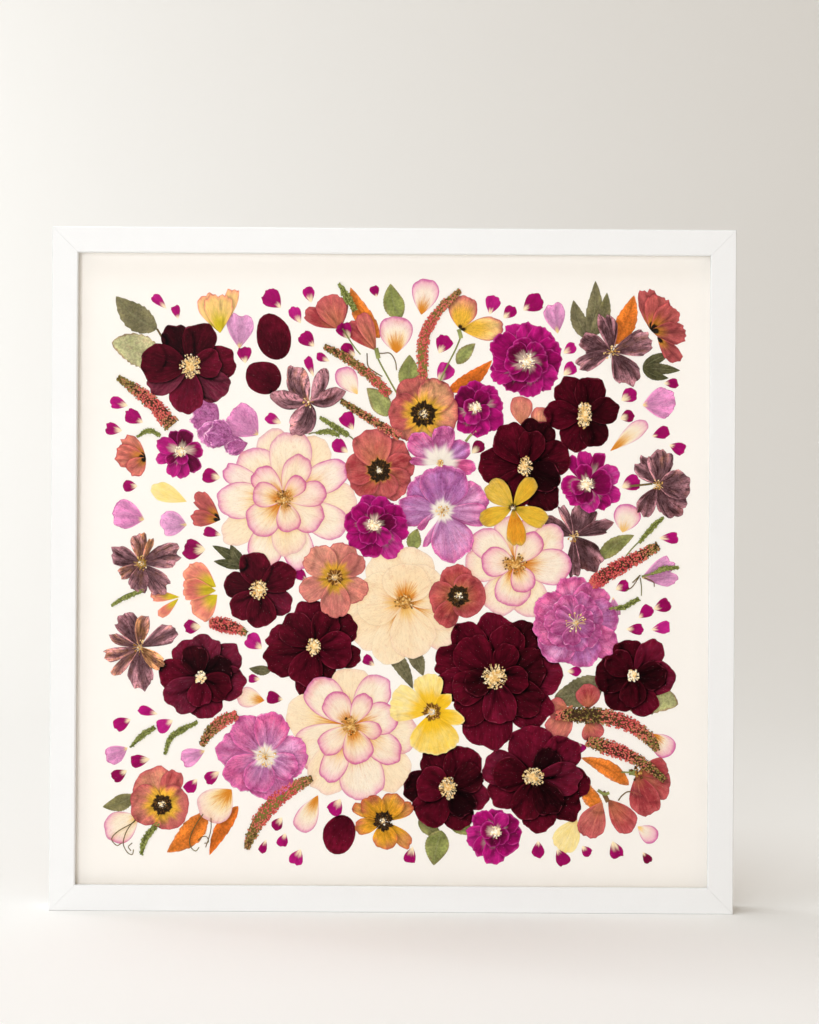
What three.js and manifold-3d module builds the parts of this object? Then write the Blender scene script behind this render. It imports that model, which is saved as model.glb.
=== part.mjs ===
import * as THREE from 'three';
import { mergeVertices } from 'three/addons/utils/BufferGeometryUtils.js';
import Module from 'manifold-3d';

// Frame, in millimetres. +X right, the picture faces -Y, +Z up, origin at the
// middle of the base.
const OUTER = 528;          // outside width and height
const FACE = 20;            // width of a rail seen from the front
const DEPTH = 34;           // front face to back face
const LIP_T = 3.5;          // thickness of the front lip over the rebate
const REBATE = 6;           // how far the lip overlaps the glass
const EASE = 0.8;           // small bevel on the front edges
const GAP = 0.3;            // clearance between pieces that bear on each other
const MITRE_GAP = 0.21;     // set-back of each mitred end along the rail

// Stack behind the lip
const GLASS_T = 2;
const AIR = 4;              // glass back to mount board front
const BOARD_T = 2;
const BACKING_T = 3;
const SPACER_W = 4.8;
const SPACER_T = AIR - 2 * GAP;

// Fixings at the back
const TAB = { long: 16, wide: 10, thick: 0.8 };
const HANGER = { long: 46, high: 8, thick: 1.6, pocketDepth: 2, teeth: 9, tooth: 1.6 };

// Pressed specimens lie on shelves in front of the board
const SHELF = 0.75;         // height between two shelves
const UNDER = 0.3;          // board to the first shelf
const PETAL_T = 0.25;       // lower petals
const PETAL_T2 = 0.2;       // petals lying on the lower ones
const EYE_T = 0.15;         // centre
const RIM_STEPS = 4;        // rays across a narrow petal, more on wider ones
const NARROW = 15;
const WIDE = 24;
const CLEAR = 0.5;          // plan distance that counts as touching
const LAPPED = 3.2;         // plan overlap that puts the later one on top

const HALF = OUTER / 2;
const Y_FRONT = -DEPTH / 2;
const Y_GLASS = Y_FRONT + LIP_T + GAP;
const Y_BOARD = Y_GLASS + GLASS_T + AIR;
const Y_BACKING = Y_BOARD + BOARD_T + GAP;
const PANE = OUTER - 2 * (FACE - REBATE) - 2 * GAP;

// Specimens: [name, kind, centre x, centre z, eye radius x, eye radius z, petals]
// measured from the middle of the picture. A petal is [tip x, tip z, width,
// layer, tone, base x, base z]; its base is the centre when left out. Tone runs
// over the colours of the kind.
const FLOWERS = [
  ["rose_burgundy_01", "burgundy", -158, 157, 7, 8.5, [[-174, 188, 24, 0, 0.05], [-123, 162, 27, 0, 0.35], [-131, 134, 26, 0, 0.8], [-163, 121, 27, 0, 0.6], [-190, 139, 21, 1, 0.85], [-147, 190, 27, 1, 0.4], [-196, 161, 31, 2, 0.3], [-134, 161, 23, 2, 0.7]]],
  ["rose_burgundy_02", "burgundy", 148, 121, 5, 9, [[130, 148, 25, 0, 0.45], [155, 150, 25, 1, 0.3], [174, 127, 22, 2, 0.35], [117, 121, 23, 1, 0.25], [161, 98, 23, 1, 0.15], [137, 94, 26, 0, 0.4]]],
  ["rose_burgundy_03", "burgundy", 102, 81, 5, 6.5, [[84, 112, 29, 1, 0.55], [116, 117, 29, 0, 0.3], [137, 90, 28, 0, 0.35], [122, 47, 27, 0, 0.3], [88, 50, 29, 1, 0.3], [66, 82, 29, 0, 0.35], [110, 108, 22, 2, 0.25], [128, 68, 25, 2, 0.1]]],
  ["rose_burgundy_04", "burgundy", -104, -16, 6, 6.5, [[-109, 13, 25, 1, 0.6], [-131, -11, 21, 0, 0.3], [-77, 0, 24, 1, 0.5], [-79, -31, 20, 0, 0.6], [-122, -37, 23, 0, 0.4], [-101, -45, 24, 2, 0.45]]],
  ["rose_burgundy_05", "burgundy", -61, -60, 4.5, 6, [[-65, -24, 29, 0, 0.35], [-29, -40, 25, 0, 0.35], [-97, -51, 22, 0, 0.7], [-98, -74, 29, 0, 0.55], [-25, -69, 20, 0, 0.4], [-50, -86, 22, 0, 0.45], [-69, -97, 18, 0, 0.55], [-84, -38, 27, 1, 0.45], [-47, -33, 22, 1, 0.2], [-31, -64, 30, 2, 0.5], [-71, -90, 27, 2, 0.55]]],
  ["rose_burgundy_06", "burgundy", -149, -84, 4, 4, [[-164, -57, 25, 0, 0.7], [-144, -51, 25, 1, 0.75], [-119, -63, 25, 0, 0.8], [-114, -91, 27, 0, 0.7], [-142, -116, 27, 0, 0.8], [-172, -108, 29, 1, 0.85], [-181, -82, 27, 0, 0.4], [-156, -60, 21, 2, 0.15], [-125, -74, 21, 1, 0], [-126, -96, 23, 2, 0.6], [-150, -107, 19, 2, 0.5]]],
  ["rose_burgundy_07", "burgundy", 79, -82, 8.5, 8.5, [[80, -34, 36, 0, 0.5], [50, -43, 28, 0, 0.55], [110, -43, 34, 0, 0.35], [131, -80, 38, 0, 0.75], [120, -118, 34, 0, 0.7], [72, -138, 40, 0, 0.65], [33, -66, 26, 0, 0.6], [34, -92, 27, 0, 0.5], [53, -118, 27, 0, 0.55], [52, -55, 31, 1, 0.6], [94, -43, 27, 1, 0.5], [119, -73, 32, 1, 0.35], [114, -108, 29, 1, 0.5], [47, -96, 27, 1, 0.65], [93, -58, 20, 2, 0.25], [106, -86, 21, 2, 0.25], [86, -119, 27, 2, 0.6], [57, -91, 22, 2, 0.15]]],
  ["rose_burgundy_08", "burgundy", 187, -81, 4.2, 4.2, [[181, -53, 24, 0, 0.4], [207, -55, 21, 0, 0.6], [219, -84, 27, 0, 0.75], [199, -112, 23, 0, 0.4], [171, -107, 27, 0, 0.35], [157, -80, 29, 1, 0.35], [168, -65, 22, 2, 0.2], [212, -81, 23, 2, 0.05], [187, -105, 21, 2, 0.2]]],
  ["rose_burgundy_09", "burgundy", 110, -160, 7.5, 6, [[107, -120, 37, 0, 0.55], [143, -133, 29, 0, 0.5], [153, -168, 29, 0, 0.6], [144, -190, 26, 0, 0.45], [117, -203, 27, 0, 0.5], [77, -178, 27, 0, 0.65], [71, -150, 28, 0, 0.75], [79, -157, 27, 1, 0.45], [128, -141, 22, 1, 0.15], [147, -162, 27, 1, 0.6], [128, -188, 24, 2, 0.1], [103, -193, 26, 1, 0.55]]],
  ["rose_burgundy_10", "burgundy", 44, -169, 6, 7.5, [[30, -139, 27, 0, 0.5], [62, -139, 31, 0, 0.6], [9, -168, 26, 0, 0.2], [75, -178, 23, 0, 0.55], [55, -201, 25, 0, 0.5], [23, -196, 29, 1, 0.55], [20, -163, 29, 2, 0.5], [70, -156, 23, 1, 0.35], [61, -189, 22, 2, 0.1]]],
  ["rose_cream_01", "cream", -85, 54, 5.5, 6.5, [[-95, 108, 29, 0, 0.25], [-55, 101, 29, 0, 0.05], [-116, 91, 31, 0, 0.5], [-132, 78, 17, 0, 0.9], [-136, 53, 29, 1, 0.55], [-131, 23, 25, 0, 0.1], [-104, 2, 28, 0, 0.6], [-69, 0, 25, 0, 0.65], [-29, 54, 32, 0, 0.15], [-77, 107, 33, 1, 0.4], [-79, 11, 27, 1, 0.2], [-37, 30, 27, 1, 0.5], [-37, 80, 25, 1, 0.8], [-70, 88, 22, 2, 0.55], [-107, 77, 21, 2, 0.85], [-109, 60, 20, 3, 0.6], [-110, 30, 28, 2, 0.6], [-56, 35, 27, 2, 0.6], [-79, 29, 19, 3, 0.6], [-52, 61, 20, 2, 0.95], [-70, 71, 15, 3, 1]]],
  ["rose_cream_02", "cream", 95, 5, 8, 6.5, [[88, 42, 25, 0, 0.4], [113, 39, 25, 0, 0.5], [131, 31, 25, 0, 0.45], [138, 2, 29, 1, 0.6], [112, -35, 29, 0, 0.3], [78, -33, 29, 0, 0.3], [56, 4, 27, 0, 0.35], [63, 28, 25, 1, 0.55], [92, -28, 28, 2, 0.6], [105, -16, 20, 3, 0.85], [69, 8, 24, 3, 0.9], [113, 28, 20, 3, 0.75]]],
  ["rose_cream_03", "cream", 9, -25, 6.5, 5, [[18, 17, 36, 0, 0.05], [-14, 11, 30, 0, 0.02], [-37, -30, 36, 0, 0], [-30, -56, 34, 0, 0.03], [-6, -73, 28, 0, 0], [47, -58, 25, 0, 0.2], [48, -38, 25, 0, 0.05], [37, -4, 36, 1, 0.03], [-28, -20, 42, 1, 0], [13, 5, 38, 2, 0.02], [20, -67, 36, 2, 0.04]]],
  ["rose_cream_04", "cream", -32, -121, 6, 6, [[-32, -76, 33, 0, 0.05], [-63, -87, 29, 1, 0.6], [-6, -84, 27, 0, 0.55], [-82, -111, 35, 0, 0.02], [-75, -146, 33, 0, 0.45], [-56, -173, 33, 0, 0.1], [-19, -179, 35, 1, 0.5], [9, -168, 35, 0, 0.05], [20, -130, 31, 0, 0.3], [6, -146, 24, 1, 0.65], [-50, -164, 21, 2, 0.8], [4, -112, 26, 2, 0.65], [-55, -141, 19, 2, 0.7], [-49, -97, 23, 3, 0.75], [-19, -97, 16, 3, 0.7], [-8, -126, 14, 3, 0.6], [-23, -150, 24, 3, 0.7]]],
  ["rose_magenta_01", "magenta", 103, 162, 6, 6, [[91, 191, 19, 0, 0.6], [105, 192, 19, 0, 0.8], [119, 188, 21, 0, 0.5], [129, 175, 20, 0, 0.7], [130, 160, 22, 0, 0.4], [124, 144, 22, 0, 0.6], [106, 135, 23, 0, 0.7], [88, 141, 21, 0, 0.3], [75, 151, 20, 0, 0.8], [76, 165, 20, 0, 0.6], [77, 180, 22, 0, 0.5], [99, 181, 17, 1, 0.3], [115, 175, 17, 1, 0.4], [120, 159, 16, 1, 0.3], [110, 147, 17, 1, 0.5], [93, 148, 16, 1, 0.2], [86, 159, 16, 1, 0.35], [90, 174, 17, 1, 0.2]]],
  ["rose_magenta_02", "magenta", 63, 126, 5, 5, [[64, 147, 18, 0, 0.5], [79, 141, 17, 0, 0.6], [85, 129, 18, 0, 0.5], [84, 112, 18, 0, 0.7], [68, 104, 18, 0, 0.8], [53, 107, 16, 0, 0.5], [46, 121, 18, 0, 0.4], [50, 140, 18, 0, 0.3], [72, 139, 13, 1, 0.3], [74, 120, 13, 1, 0.4], [60, 113, 13, 1, 0.6], [54, 129, 12, 1, 0.3]]],
  ["rose_magenta_03", "magenta", -165, 91, 5, 4, [[-172, 107, 9, 0, 0.2], [-160, 108, 13, 0, 0.1], [-148, 93, 13, 0, 0.2], [-151, 76, 12, 0, 0.2], [-163, 70, 11, 0, 0.8], [-173, 72, 11, 0, 0.9], [-184, 84, 10, 0, 0.8], [-183, 98, 14, 0, 0.7], [-163, 81, 10, 1, 0.5], [-177, 82, 8, 1, 0.1]]],
  ["rose_magenta_04", "magenta", -15, 35, 6, 4.5, [[-21, 58, 18, 0, 0.7], [-5, 56, 18, 0, 0.5], [8, 45, 20, 0, 0.3], [12, 30, 20, 0, 0.6], [4, 11, 20, 0, 0.9], [-18, 9, 18, 0, 0.4], [-34, 19, 18, 0, 0.6], [-38, 38, 18, 0, 0.4], [-30, 50, 16, 0, 0.5], [-12, 50, 14, 1, 0.3], [2, 38, 14, 1, 0.2], [-5, 20, 15, 1, 0.7], [-22, 20, 14, 1, 0.3], [-28, 35, 14, 1, 0.4]]],
  ["rose_magenta_05", "magenta", 150, 67, 5.5, 5.5, [[136, 89, 10, 0, 0.5], [148, 93, 13, 0, 0.7], [162, 92, 11, 0, 0.1], [175, 78, 17, 0, 0.8], [176, 57, 14, 0, 0.7], [166, 49, 15, 0, 0.5], [154, 46, 16, 0, 0.7], [136, 53, 16, 0, 0.6], [130, 66, 16, 0, 0.6], [147, 83, 13, 1, 0.2], [170, 70, 20, 1, 0.3], [147, 52, 15, 1, 0.2], [138, 63, 12, 1, 0.4]]],
  ["rose_magenta_06", "magenta", 81, -203, 4.5, 4.5, [[80, -185, 16, 0, 0.5], [65, -189, 17, 0, 0.7], [58, -209, 18, 0, 0.8], [66, -220, 16, 0, 0.7], [79, -228, 18, 0, 0.7], [95, -219, 18, 0, 0.6], [101, -205, 17, 0, 0.5], [97, -192, 16, 0, 0.4], [88, -188, 12, 1, 0.6], [90, -210, 14, 1, 0.3], [76, -214, 13, 1, 0.3], [69, -200, 14, 1, 0.4]]],
  ["flower_mauve_01", "mauve", 36, 83, 2, 2, [[40, 112, 18, 1, 0.4], [14, 104, 20, 0, 0.8], [58, 98, 17, 0, 0.3], [64, 79, 12, 0, 0.9, 37, 83], [13, 85, 7, 0, 0.5]]],
  ["flower_mauve_02", "mauve", 38, 46, 3.6, 3.8, [[16, 71, 32, 0, 0.45], [41, 82, 38, 1, 0.4], [72, 58, 32, 0, 0.5], [74, 42, 18, 0, 0.5], [3, 46, 25, 0, 0.35], [51, 8, 33, 1, 0.55], [24, 18, 6, 0, 0.6, 38, 42], [20, 31, 6, 0, 0.6, 30, 44]]],
  ["flower_mauve_03", "mauve", 142, -40, 6, 6, [[139, -4, 27, 0, 0.85], [161, -12, 29, 0, 0.6], [175, -36, 32, 0, 0.4], [173, -63, 25, 0, 0.8], [149, -74, 32, 0, 0.35], [119, -68, 30, 0, 0.6], [109, -44, 32, 0, 0.6], [112, -24, 28, 0, 0.95], [152, -18, 20, 1, 0.5], [163, -34, 20, 1, 0.3], [160, -55, 20, 1, 0.4], [142, -63, 20, 1, 0.4], [123, -56, 20, 1, 0.45], [117, -38, 19, 1, 0.5], [130, -20, 20, 1, 0.6], [147, -26, 10, 2, 0.6], [156, -34, 11, 2, 0.5], [127, -30, 13, 2, 0.5], [123, -46, 13, 2, 0.45], [137, -58, 15, 2, 0.5], [156, -48, 16, 2, 0.35]]],
  ["flower_mauve_04", "mauve", -98, -145, 5.5, 6, [[-91, -111, 27, 1, 0.95], [-65, -146, 33, 0, 0.7], [-74, -158, 22, 1, 0.45], [-127, -166, 29, 1, 0.8], [-135, -138, 30, 0, 0.6], [-119, -116, 28, 0, 0.5], [-93, -178, 38, 0, 0.6], [-106, -172, 26, 1, 0.5]]],
  ["flower_coral_01", "coral", 23, 121, 9, 9, [[11, 149, 29, 0, 0.8], [39, 146, 29, 2, 0.3], [50, 121, 34, 1, 0.35], [43, 103, 24, 0, 0.3], [20, 97, 26, 0, 0.2], [0, 107, 25, 0, 0.6], [-4, 124, 29, 1, 0.9]]],
  ["flower_coral_02", "coral", -11, 77, 8.5, 8.5, [[-20, 109, 30, 1, 0.6], [6, 100, 29, 0, 0.75], [16, 81, 24, 0, 0.8], [10, 60, 26, 0, 0.7], [-8, 54, 27, 0, 0.75], [-31, 62, 24, 0, 0.8], [-37, 81, 27, 0, 0.9]]],
  ["flower_coral_03", "coral", -45, -6, 5, 6, [[-64, 15, 27, 1, 0.5], [-36, 20, 25, 0, 0.65], [-23, 9, 18, 1, 0.6], [-21, -21, 21, 0, 0.6], [-44, -37, 24, 1, 0.5], [-71, -20, 20, 0, 0.45]]],
  ["pansy_yellow_01", "yellow", 93, 49, 4, 4, [[74, 68, 19, 0, 0.2], [109, 71, 14, 0, 0.4], [68, 38, 15, 0, 0.4], [119, 38, 16, 0, 0.4], [97, 19, 15, 1, 0.9]]],
  ["poppy_red_01", "coral", 51, -20, 8, 8, [[48, 4, 26, 0, 0.95], [28, -24, 27, 0, 1], [37, -43, 19, 0, 0.9], [72, -20, 38, 1, 0.98]]],
  ["viola_yellow_01", "yellow", 31, -110, 6, 6, [[0, -98, 32, 0, 0.1], [33, -82, 21, 0, 0.1], [46, -96, 13, 0, 0.3], [57, -117, 15, 0, 0.3], [35, -143, 44, 1, 0.25]]],
  ["flower_coral_04", "coral", -178, -183, 7.5, 7.5, [[-189, -156, 36, 0, 0.5], [-203, -184, 32, 1, 0.6], [-189, -197, 18, 0, 0.5], [-167, -157, 17, 0, 0.9], [-158, -191, 36, 0, 0.8]]],
  ["flower_orange_01", "coral", -6, -195, 7, 7, [[-21, -176, 20, 1, 0.5], [-29, -184, 11, 0, 0.3], [6, -174, 19, 1, 0.4], [16, -182, 13, 0, 0.3], [16, -214, 14, 0, 0.3], [-4, -217, 20, 0, 0.45], [-27, -200, 16, 1, 0.4]]],
  ["larkspur_grey_01", "grey", -66, 130, 3, 3, [[-80, 158, 17, 0, 0.4], [-53, 157, 10, 0, 0.5, -64.5, 130.5], [-38, 138, 12, 0, 0.4], [-96, 135, 12, 0, 0.5], [-75, 103, 19, 0, 0.3]]],
  ["larkspur_grey_02", "grey", 169, 170, 4, 4, [[164, 199, 15, 0, 0.4], [200, 180, 19, 0, 0.6], [186, 146, 21, 1, 0.5], [145, 179, 17, 0, 0.5], [143, 159, 14, 0, 0.5]]],
  ["larkspur_grey_03", "grey", -195, 4, 4, 4, [[-218, 12, 16, 0, 0.3], [-198, 27, 13, 0, 0.8], [-187, 23, 6, 0, 0.8], [-166, 13, 20, 0, 0.4], [-176, -18, 17, 0, 0.6], [-198, -18, 16, 1, 0.4], [-212, -6, 10, 0, 0.7]]],
  ["larkspur_grey_04", "grey", 205, 67, 3, 3, [[190, 86, 16, 0, 0.4], [208, 94, 20, 0, 0.5], [230, 68, 24, 1, 0.6], [222, 44, 23, 0, 0.5], [192, 44, 15, 0, 0.3, 204.5, 65.5]]],
  ["larkspur_grey_05", "grey", 140, 27, 3, 3, [[130, 51, 7, 1, 0.6], [117, 38, 15, 0, 0.4], [152, 51, 21, 0, 0.35], [169, 37, 12, 1, 0.4], [157, 2, 24, 0, 0.3], [140, -5, 11, 1, 0.5]]],
  ["larkspur_grey_06", "grey", -196, -61, 4, 4, [[-210, -35, 17, 0, 0.4], [-193, -37, 12, 1, 0.7], [-168, -47, 15, 0, 0.5], [-179, -76, 13, 1, 0.9], [-195, -93, 20, 0, 0.3], [-216, -82, 9, 0, 0.7], [-224, -69, 10, 0, 0.5], [-219, -53, 8, 0, 0.6]]],
  ["bellflower_red_01", "coral", 190, -157, 5, 5, [[200, -189, 24, 1, 0.95], [215, -171, 27, 0, 1], [214, -150, 15, 0, 1]]],
];

// Flower spikes: [name, [[x, z, width], ...]] along the stem
const SPIKES = [
  ["spike_coral_01", [[-214, 148, 4], [-198, 137, 10], [-183, 124, 12], [-172, 111, 13]]],
  ["spike_coral_02", [[206, 20, 7], [192, 12, 10], [175, 3, 12], [161, -6, 12], [154, -11, 7]]],
  ["spike_coral_03", [[127, -112, 6], [145, -112, 12], [165, -113, 13], [184, -119, 12], [199, -129, 10], [206, -139, 4]]],
  ["spike_coral_04", [[151, -132, 7], [165, -136, 12], [182, -142, 11], [198, -151, 8], [212, -162, 4]]],
  ["spike_coral_05", [[-112, -217, 4], [-108, -205, 9], [-100, -191, 12], [-90, -180, 12], [-78, -171, 10], [-68, -165, 8], [-62, -162, 4]]]
];

// From the board up. A specimen goes above any earlier one that it laps over,
// and on a shelf of its own beside any that it only touches.
const ORDER = [
  'larkspur_grey_05', 'rose_cream_03', 'rose_cream_01', 'rose_cream_02', 'spike_coral_02',
  'rose_magenta_05', 'flower_coral_02', 'rose_magenta_02', 'flower_coral_01', 'spike_coral_01',
  'rose_burgundy_05', 'rose_burgundy_04', 'rose_cream_04', 'flower_mauve_01', 'flower_mauve_02',
  'rose_magenta_04', 'rose_burgundy_02', 'rose_burgundy_03', 'pansy_yellow_01',
  'flower_coral_03', 'poppy_red_01', 'rose_burgundy_07', 'flower_mauve_03', 'rose_burgundy_08',
  'rose_burgundy_10', 'viola_yellow_01', 'rose_burgundy_09', 'rose_magenta_06', 'spike_coral_05',
  'flower_mauve_04', 'flower_orange_01', 'larkspur_grey_01', 'rose_burgundy_06',
  'larkspur_grey_02', 'rose_burgundy_01', 'rose_magenta_01', 'rose_magenta_03',
];

const MATERIALS = {
  frame: [0xf3f3f0, 0.55, 0], glass: [0xf4fafa, 0.05, 0], board: [0xfaf4ea, 0.9, 0],
  backing: [0xb08d66, 0.85, 0], spacer: [0xf2f0ea, 0.7, 0], steel: [0xa9abad, 0.4, 1],
  burgundy: [0x5a1228, 0.8, 0], cream: [0xf7dcc0, 0.8, 0], magenta: [0x93095f, 0.75, 0],
  mauve: [0xb868a4, 0.8, 0], coral: [0xcf6a55, 0.8, 0], yellow: [0xe8bf45, 0.8, 0],
  grey: [0x77565f, 0.85, 0], spike: [0xb85a4c, 0.9, 0],
};

const materials = {};
for (const [key, [color, roughness, metalness]] of Object.entries(MATERIALS)) {
  materials[key] = new THREE.MeshStandardMaterial({ color, roughness, metalness });
  materials[key].name = key;
}
materials.glass.transparent = true;
materials.glass.opacity = 0.15;

const wasm = await Module();
wasm.setup();
const { Manifold, Mesh } = wasm;

function toSolid(geometry) {
  const g = geometry.clone();
  for (const name of Object.keys(g.attributes)) if (name !== 'position') g.deleteAttribute(name);
  const merged = mergeVertices(g, 1e-5);
  const index = merged.index.array;
  const keep = [];
  for (let i = 0; i < index.length; i += 3) {
    const [a, b, c] = [index[i], index[i + 1], index[i + 2]];
    if (a !== b && b !== c && c !== a) keep.push(a, b, c);
  }
  return new Manifold(new Mesh({
    numProp: 3,
    vertProperties: new Float32Array(merged.attributes.position.array),
    triVerts: new Uint32Array(keep),
  }));
}

function toGeometry(solid) {
  const mesh = solid.getMesh();
  const g = new THREE.BufferGeometry();
  g.setAttribute('position', new THREE.BufferAttribute(new Float32Array(mesh.vertProperties), 3));
  g.setIndex(new THREE.BufferAttribute(new Uint32Array(mesh.triVerts), 1));
  const flat = g.toNonIndexed();
  flat.computeVertexNormals();
  return flat;
}

const group = new THREE.Group();
group.name = 'pressed_flower_frame';

function add(name, geometry, material) {
  const mesh = new THREE.Mesh(geometry, materials[material]);
  mesh.name = name;
  group.add(mesh);
}

function box(name, material, sx, sy, sz, x, y, z) {
  const g = new THREE.BoxGeometry(sx, sy, sz);
  g.translate(x, y, z);
  add(name, g, material);
}

// A rail is one section swept between two mitre planes. d runs inward from the
// outside edge, y from front to back.
function railGeometry() {
  const inner = FACE - REBATE;
  const section = [
    [0, Y_FRONT + EASE], [EASE, Y_FRONT], [FACE - EASE, Y_FRONT], [FACE, Y_FRONT + EASE],
    [FACE, Y_FRONT + LIP_T], [inner, Y_FRONT + LIP_T], [inner, -Y_FRONT], [0, -Y_FRONT],
  ];
  const n = section.length;
  const position = [];
  for (const side of [-1, 1]) {
    for (const [d, y] of section) position.push(side * (HALF - d - MITRE_GAP), y, d);
  }
  const caps = THREE.ShapeUtils.triangulateShape(section.map(([d, y]) => new THREE.Vector2(d, y)), []);
  const index = [];
  for (const [a, b, c] of caps) {
    index.push(a, b, c);
    index.push(n + a, n + c, n + b);
  }
  for (let i = 0; i < n; i++) {
    const j = (i + 1) % n;
    index.push(i, n + i, j, j, n + i, n + j);
  }
  const g = new THREE.BufferGeometry();
  g.setAttribute('position', new THREE.BufferAttribute(new Float32Array(position), 3));
  g.setIndex(index);
  return g;
}

// The four rails are the same piece turned about the middle of the frame
function rail(degrees) {
  const g = railGeometry();
  g.translate(0, 0, -HALF);
  g.rotateY(THREE.MathUtils.degToRad(degrees));
  g.translate(0, 0, HALF);
  return toSolid(g);
}

const pocketW = HANGER.long + 1.2;
const pocketH = HANGER.high + 1.2;
const hangerZ = OUTER - (FACE - REBATE) / 2;
const pocket = new THREE.BoxGeometry(pocketW, 2 * HANGER.pocketDepth, pocketH);
pocket.translate(0, -Y_FRONT, hangerZ);

add('rail_bottom', toGeometry(rail(0)), 'frame');
add('rail_top', toGeometry(rail(180).subtract(toSolid(pocket))), 'frame');
add('rail_left', toGeometry(rail(90)), 'frame');
add('rail_right', toGeometry(rail(-90)), 'frame');

// Glazing, boards and the hidden spacers between glass and mount board
box('glass_pane', 'glass', PANE, GLASS_T, PANE, 0, Y_GLASS + GLASS_T / 2, HALF);
box('mount_board', 'board', PANE, BOARD_T, PANE, 0, Y_BOARD + BOARD_T / 2, HALF);
box('backing_board', 'backing', PANE, BACKING_T, PANE, 0, Y_BACKING + BACKING_T / 2, HALF);
const ySpacer = Y_GLASS + GLASS_T + AIR / 2;
const shortSpacer = PANE - 2 * SPACER_W - 2 * GAP;
for (const [name, sz] of [['spacer_top', 1], ['spacer_bottom', -1]]) {
  box(name, 'spacer', PANE, SPACER_T, SPACER_W, 0, ySpacer, HALF + sz * (PANE - SPACER_W) / 2);
}
for (const [name, sx] of [['spacer_left', -1], ['spacer_right', 1]]) {
  box(name, 'spacer', SPACER_W, SPACER_T, shortSpacer, sx * (PANE - SPACER_W) / 2, ySpacer, HALF);
}

// Turn-button tabs that hold the backing board, one on each side
const yTab = Y_BACKING + BACKING_T + GAP + TAB.thick / 2;
const tabMid = PANE / 2 - TAB.long / 2;
box('tab_top', 'steel', TAB.wide, TAB.thick, TAB.long, 0, yTab, HALF + tabMid);
box('tab_bottom', 'steel', TAB.wide, TAB.thick, TAB.long, 0, yTab, HALF - tabMid);
box('tab_left', 'steel', TAB.long, TAB.thick, TAB.wide, -tabMid, yTab, HALF);
box('tab_right', 'steel', TAB.long, TAB.thick, TAB.wide, tabMid, yTab, HALF);

// Sawtooth hanger let into the back of the top rail
{
  const s = new THREE.Shape();
  const w = HANGER.long / 2;
  const h = HANGER.high / 2;
  const span = HANGER.long * 0.6;
  const step = span / HANGER.teeth;
  s.moveTo(-w, h);
  s.lineTo(-w, -h);
  s.lineTo(-span / 2, -h);
  for (let i = 0; i < HANGER.teeth; i++) {
    const x = -span / 2 + i * step;
    s.lineTo(x + step / 2, -h + HANGER.tooth);
    s.lineTo(x + step, -h);
  }
  s.lineTo(w, -h);
  s.lineTo(w, h);
  const g = new THREE.ExtrudeGeometry(s, { depth: HANGER.thick, bevelEnabled: false });
  g.rotateX(Math.PI / 2);
  g.translate(0, -Y_FRONT - 0.1, hangerZ);
  add('sawtooth_hanger', g, 'steel');
}

// Petal outline: rays from its base, rounded off between -spread and +spread
function rim(length, spread, angle) {
  return length * Math.sqrt(Math.max(0, 1 - Math.pow(Math.abs(angle / spread), 2.4)));
}

function spreadFor(length, width) {
  let low = 0.05;
  let high = 2.2;
  for (let i = 0; i < 30; i++) {
    const mid = (low + high) / 2;
    let half = 0;
    for (let k = 1; k < 40; k++) {
      const a = mid * k / 40;
      half = Math.max(half, rim(length, mid, a) * Math.sin(a));
    }
    if (half < width / 2) low = mid; else high = mid;
  }
  return (low + high) / 2;
}

function petalOutline(cx, cz, [tx, tz, width, , , bx = cx, bz = cz]) {
  const length = Math.hypot(tx - bx, tz - bz);
  const heading = Math.atan2(tz - bz, tx - bx);
  const spread = spreadFor(length, width);
  const points = [[bx, bz]];
  const steps = RIM_STEPS + (width > WIDE ? 1 : 0) + (width > NARROW ? 1 : 0);
  for (let k = 1; k < steps; k++) {
    const a = spread * (2 * k / steps - 1);
    const r = rim(length, spread, a);
    points.push([bx + r * Math.cos(heading + a), bz + r * Math.sin(heading + a)]);
  }
  return points;
}

function ringOutline(cx, cz, rx, rz, steps) {
  const points = [];
  for (let k = 0; k < steps; k++) {
    const a = 2 * Math.PI * k / steps;
    points.push([cx + rx * Math.cos(a), cz + rz * Math.sin(a)]);
  }
  return points;
}

function ribbonOutline(stem, scale) {
  const left = [];
  const right = [];
  stem.forEach(([x, z, width], k) => {
    const [ax, az] = stem[Math.max(0, k - 1)];
    const [bx, bz] = stem[Math.min(stem.length - 1, k + 1)];
    const run = Math.hypot(bx - ax, bz - az);
    const nx = -(bz - az) / run * width * scale / 2;
    const nz = (bx - ax) / run * width * scale / 2;
    left.push([x + nx, z + nz]);
    right.push([x - nx, z - nz]);
  });
  return right.concat(left.reverse());
}

// Each specimen becomes tiers of outlines: [outline, tier]
const specimens = new Map();
for (const [name, kind, cx, cz, rx, rz, petals] of FLOWERS) {
  const tiers = petals.map((petal) => [petalOutline(cx, cz, petal), petal[3] > 0 ? 1 : 0]);
  tiers.push([ringOutline(cx, cz, rx * 1.05 + 0.5, rz * 1.05 + 0.5, 6), 1]);
  tiers.push([ringOutline(cx, cz, rx, rz, 6), 2]);
  specimens.set(name, { kind, tiers });
}
for (const [name, stem] of SPIKES) {
  specimens.set(name, { kind: 'spike', tiers: [[ribbonOutline(stem, 1), 0], [ribbonOutline(stem, 0.6), 1]] });
}

function inside([x, z], outline) {
  let hit = false;
  for (let i = 0, j = outline.length - 1; i < outline.length; j = i++) {
    const [xi, zi] = outline[i];
    const [xj, zj] = outline[j];
    if ((zi > z) !== (zj > z) && x < (xj - xi) * (z - zi) / (zj - zi) + xi) hit = !hit;
  }
  return hit;
}

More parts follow.
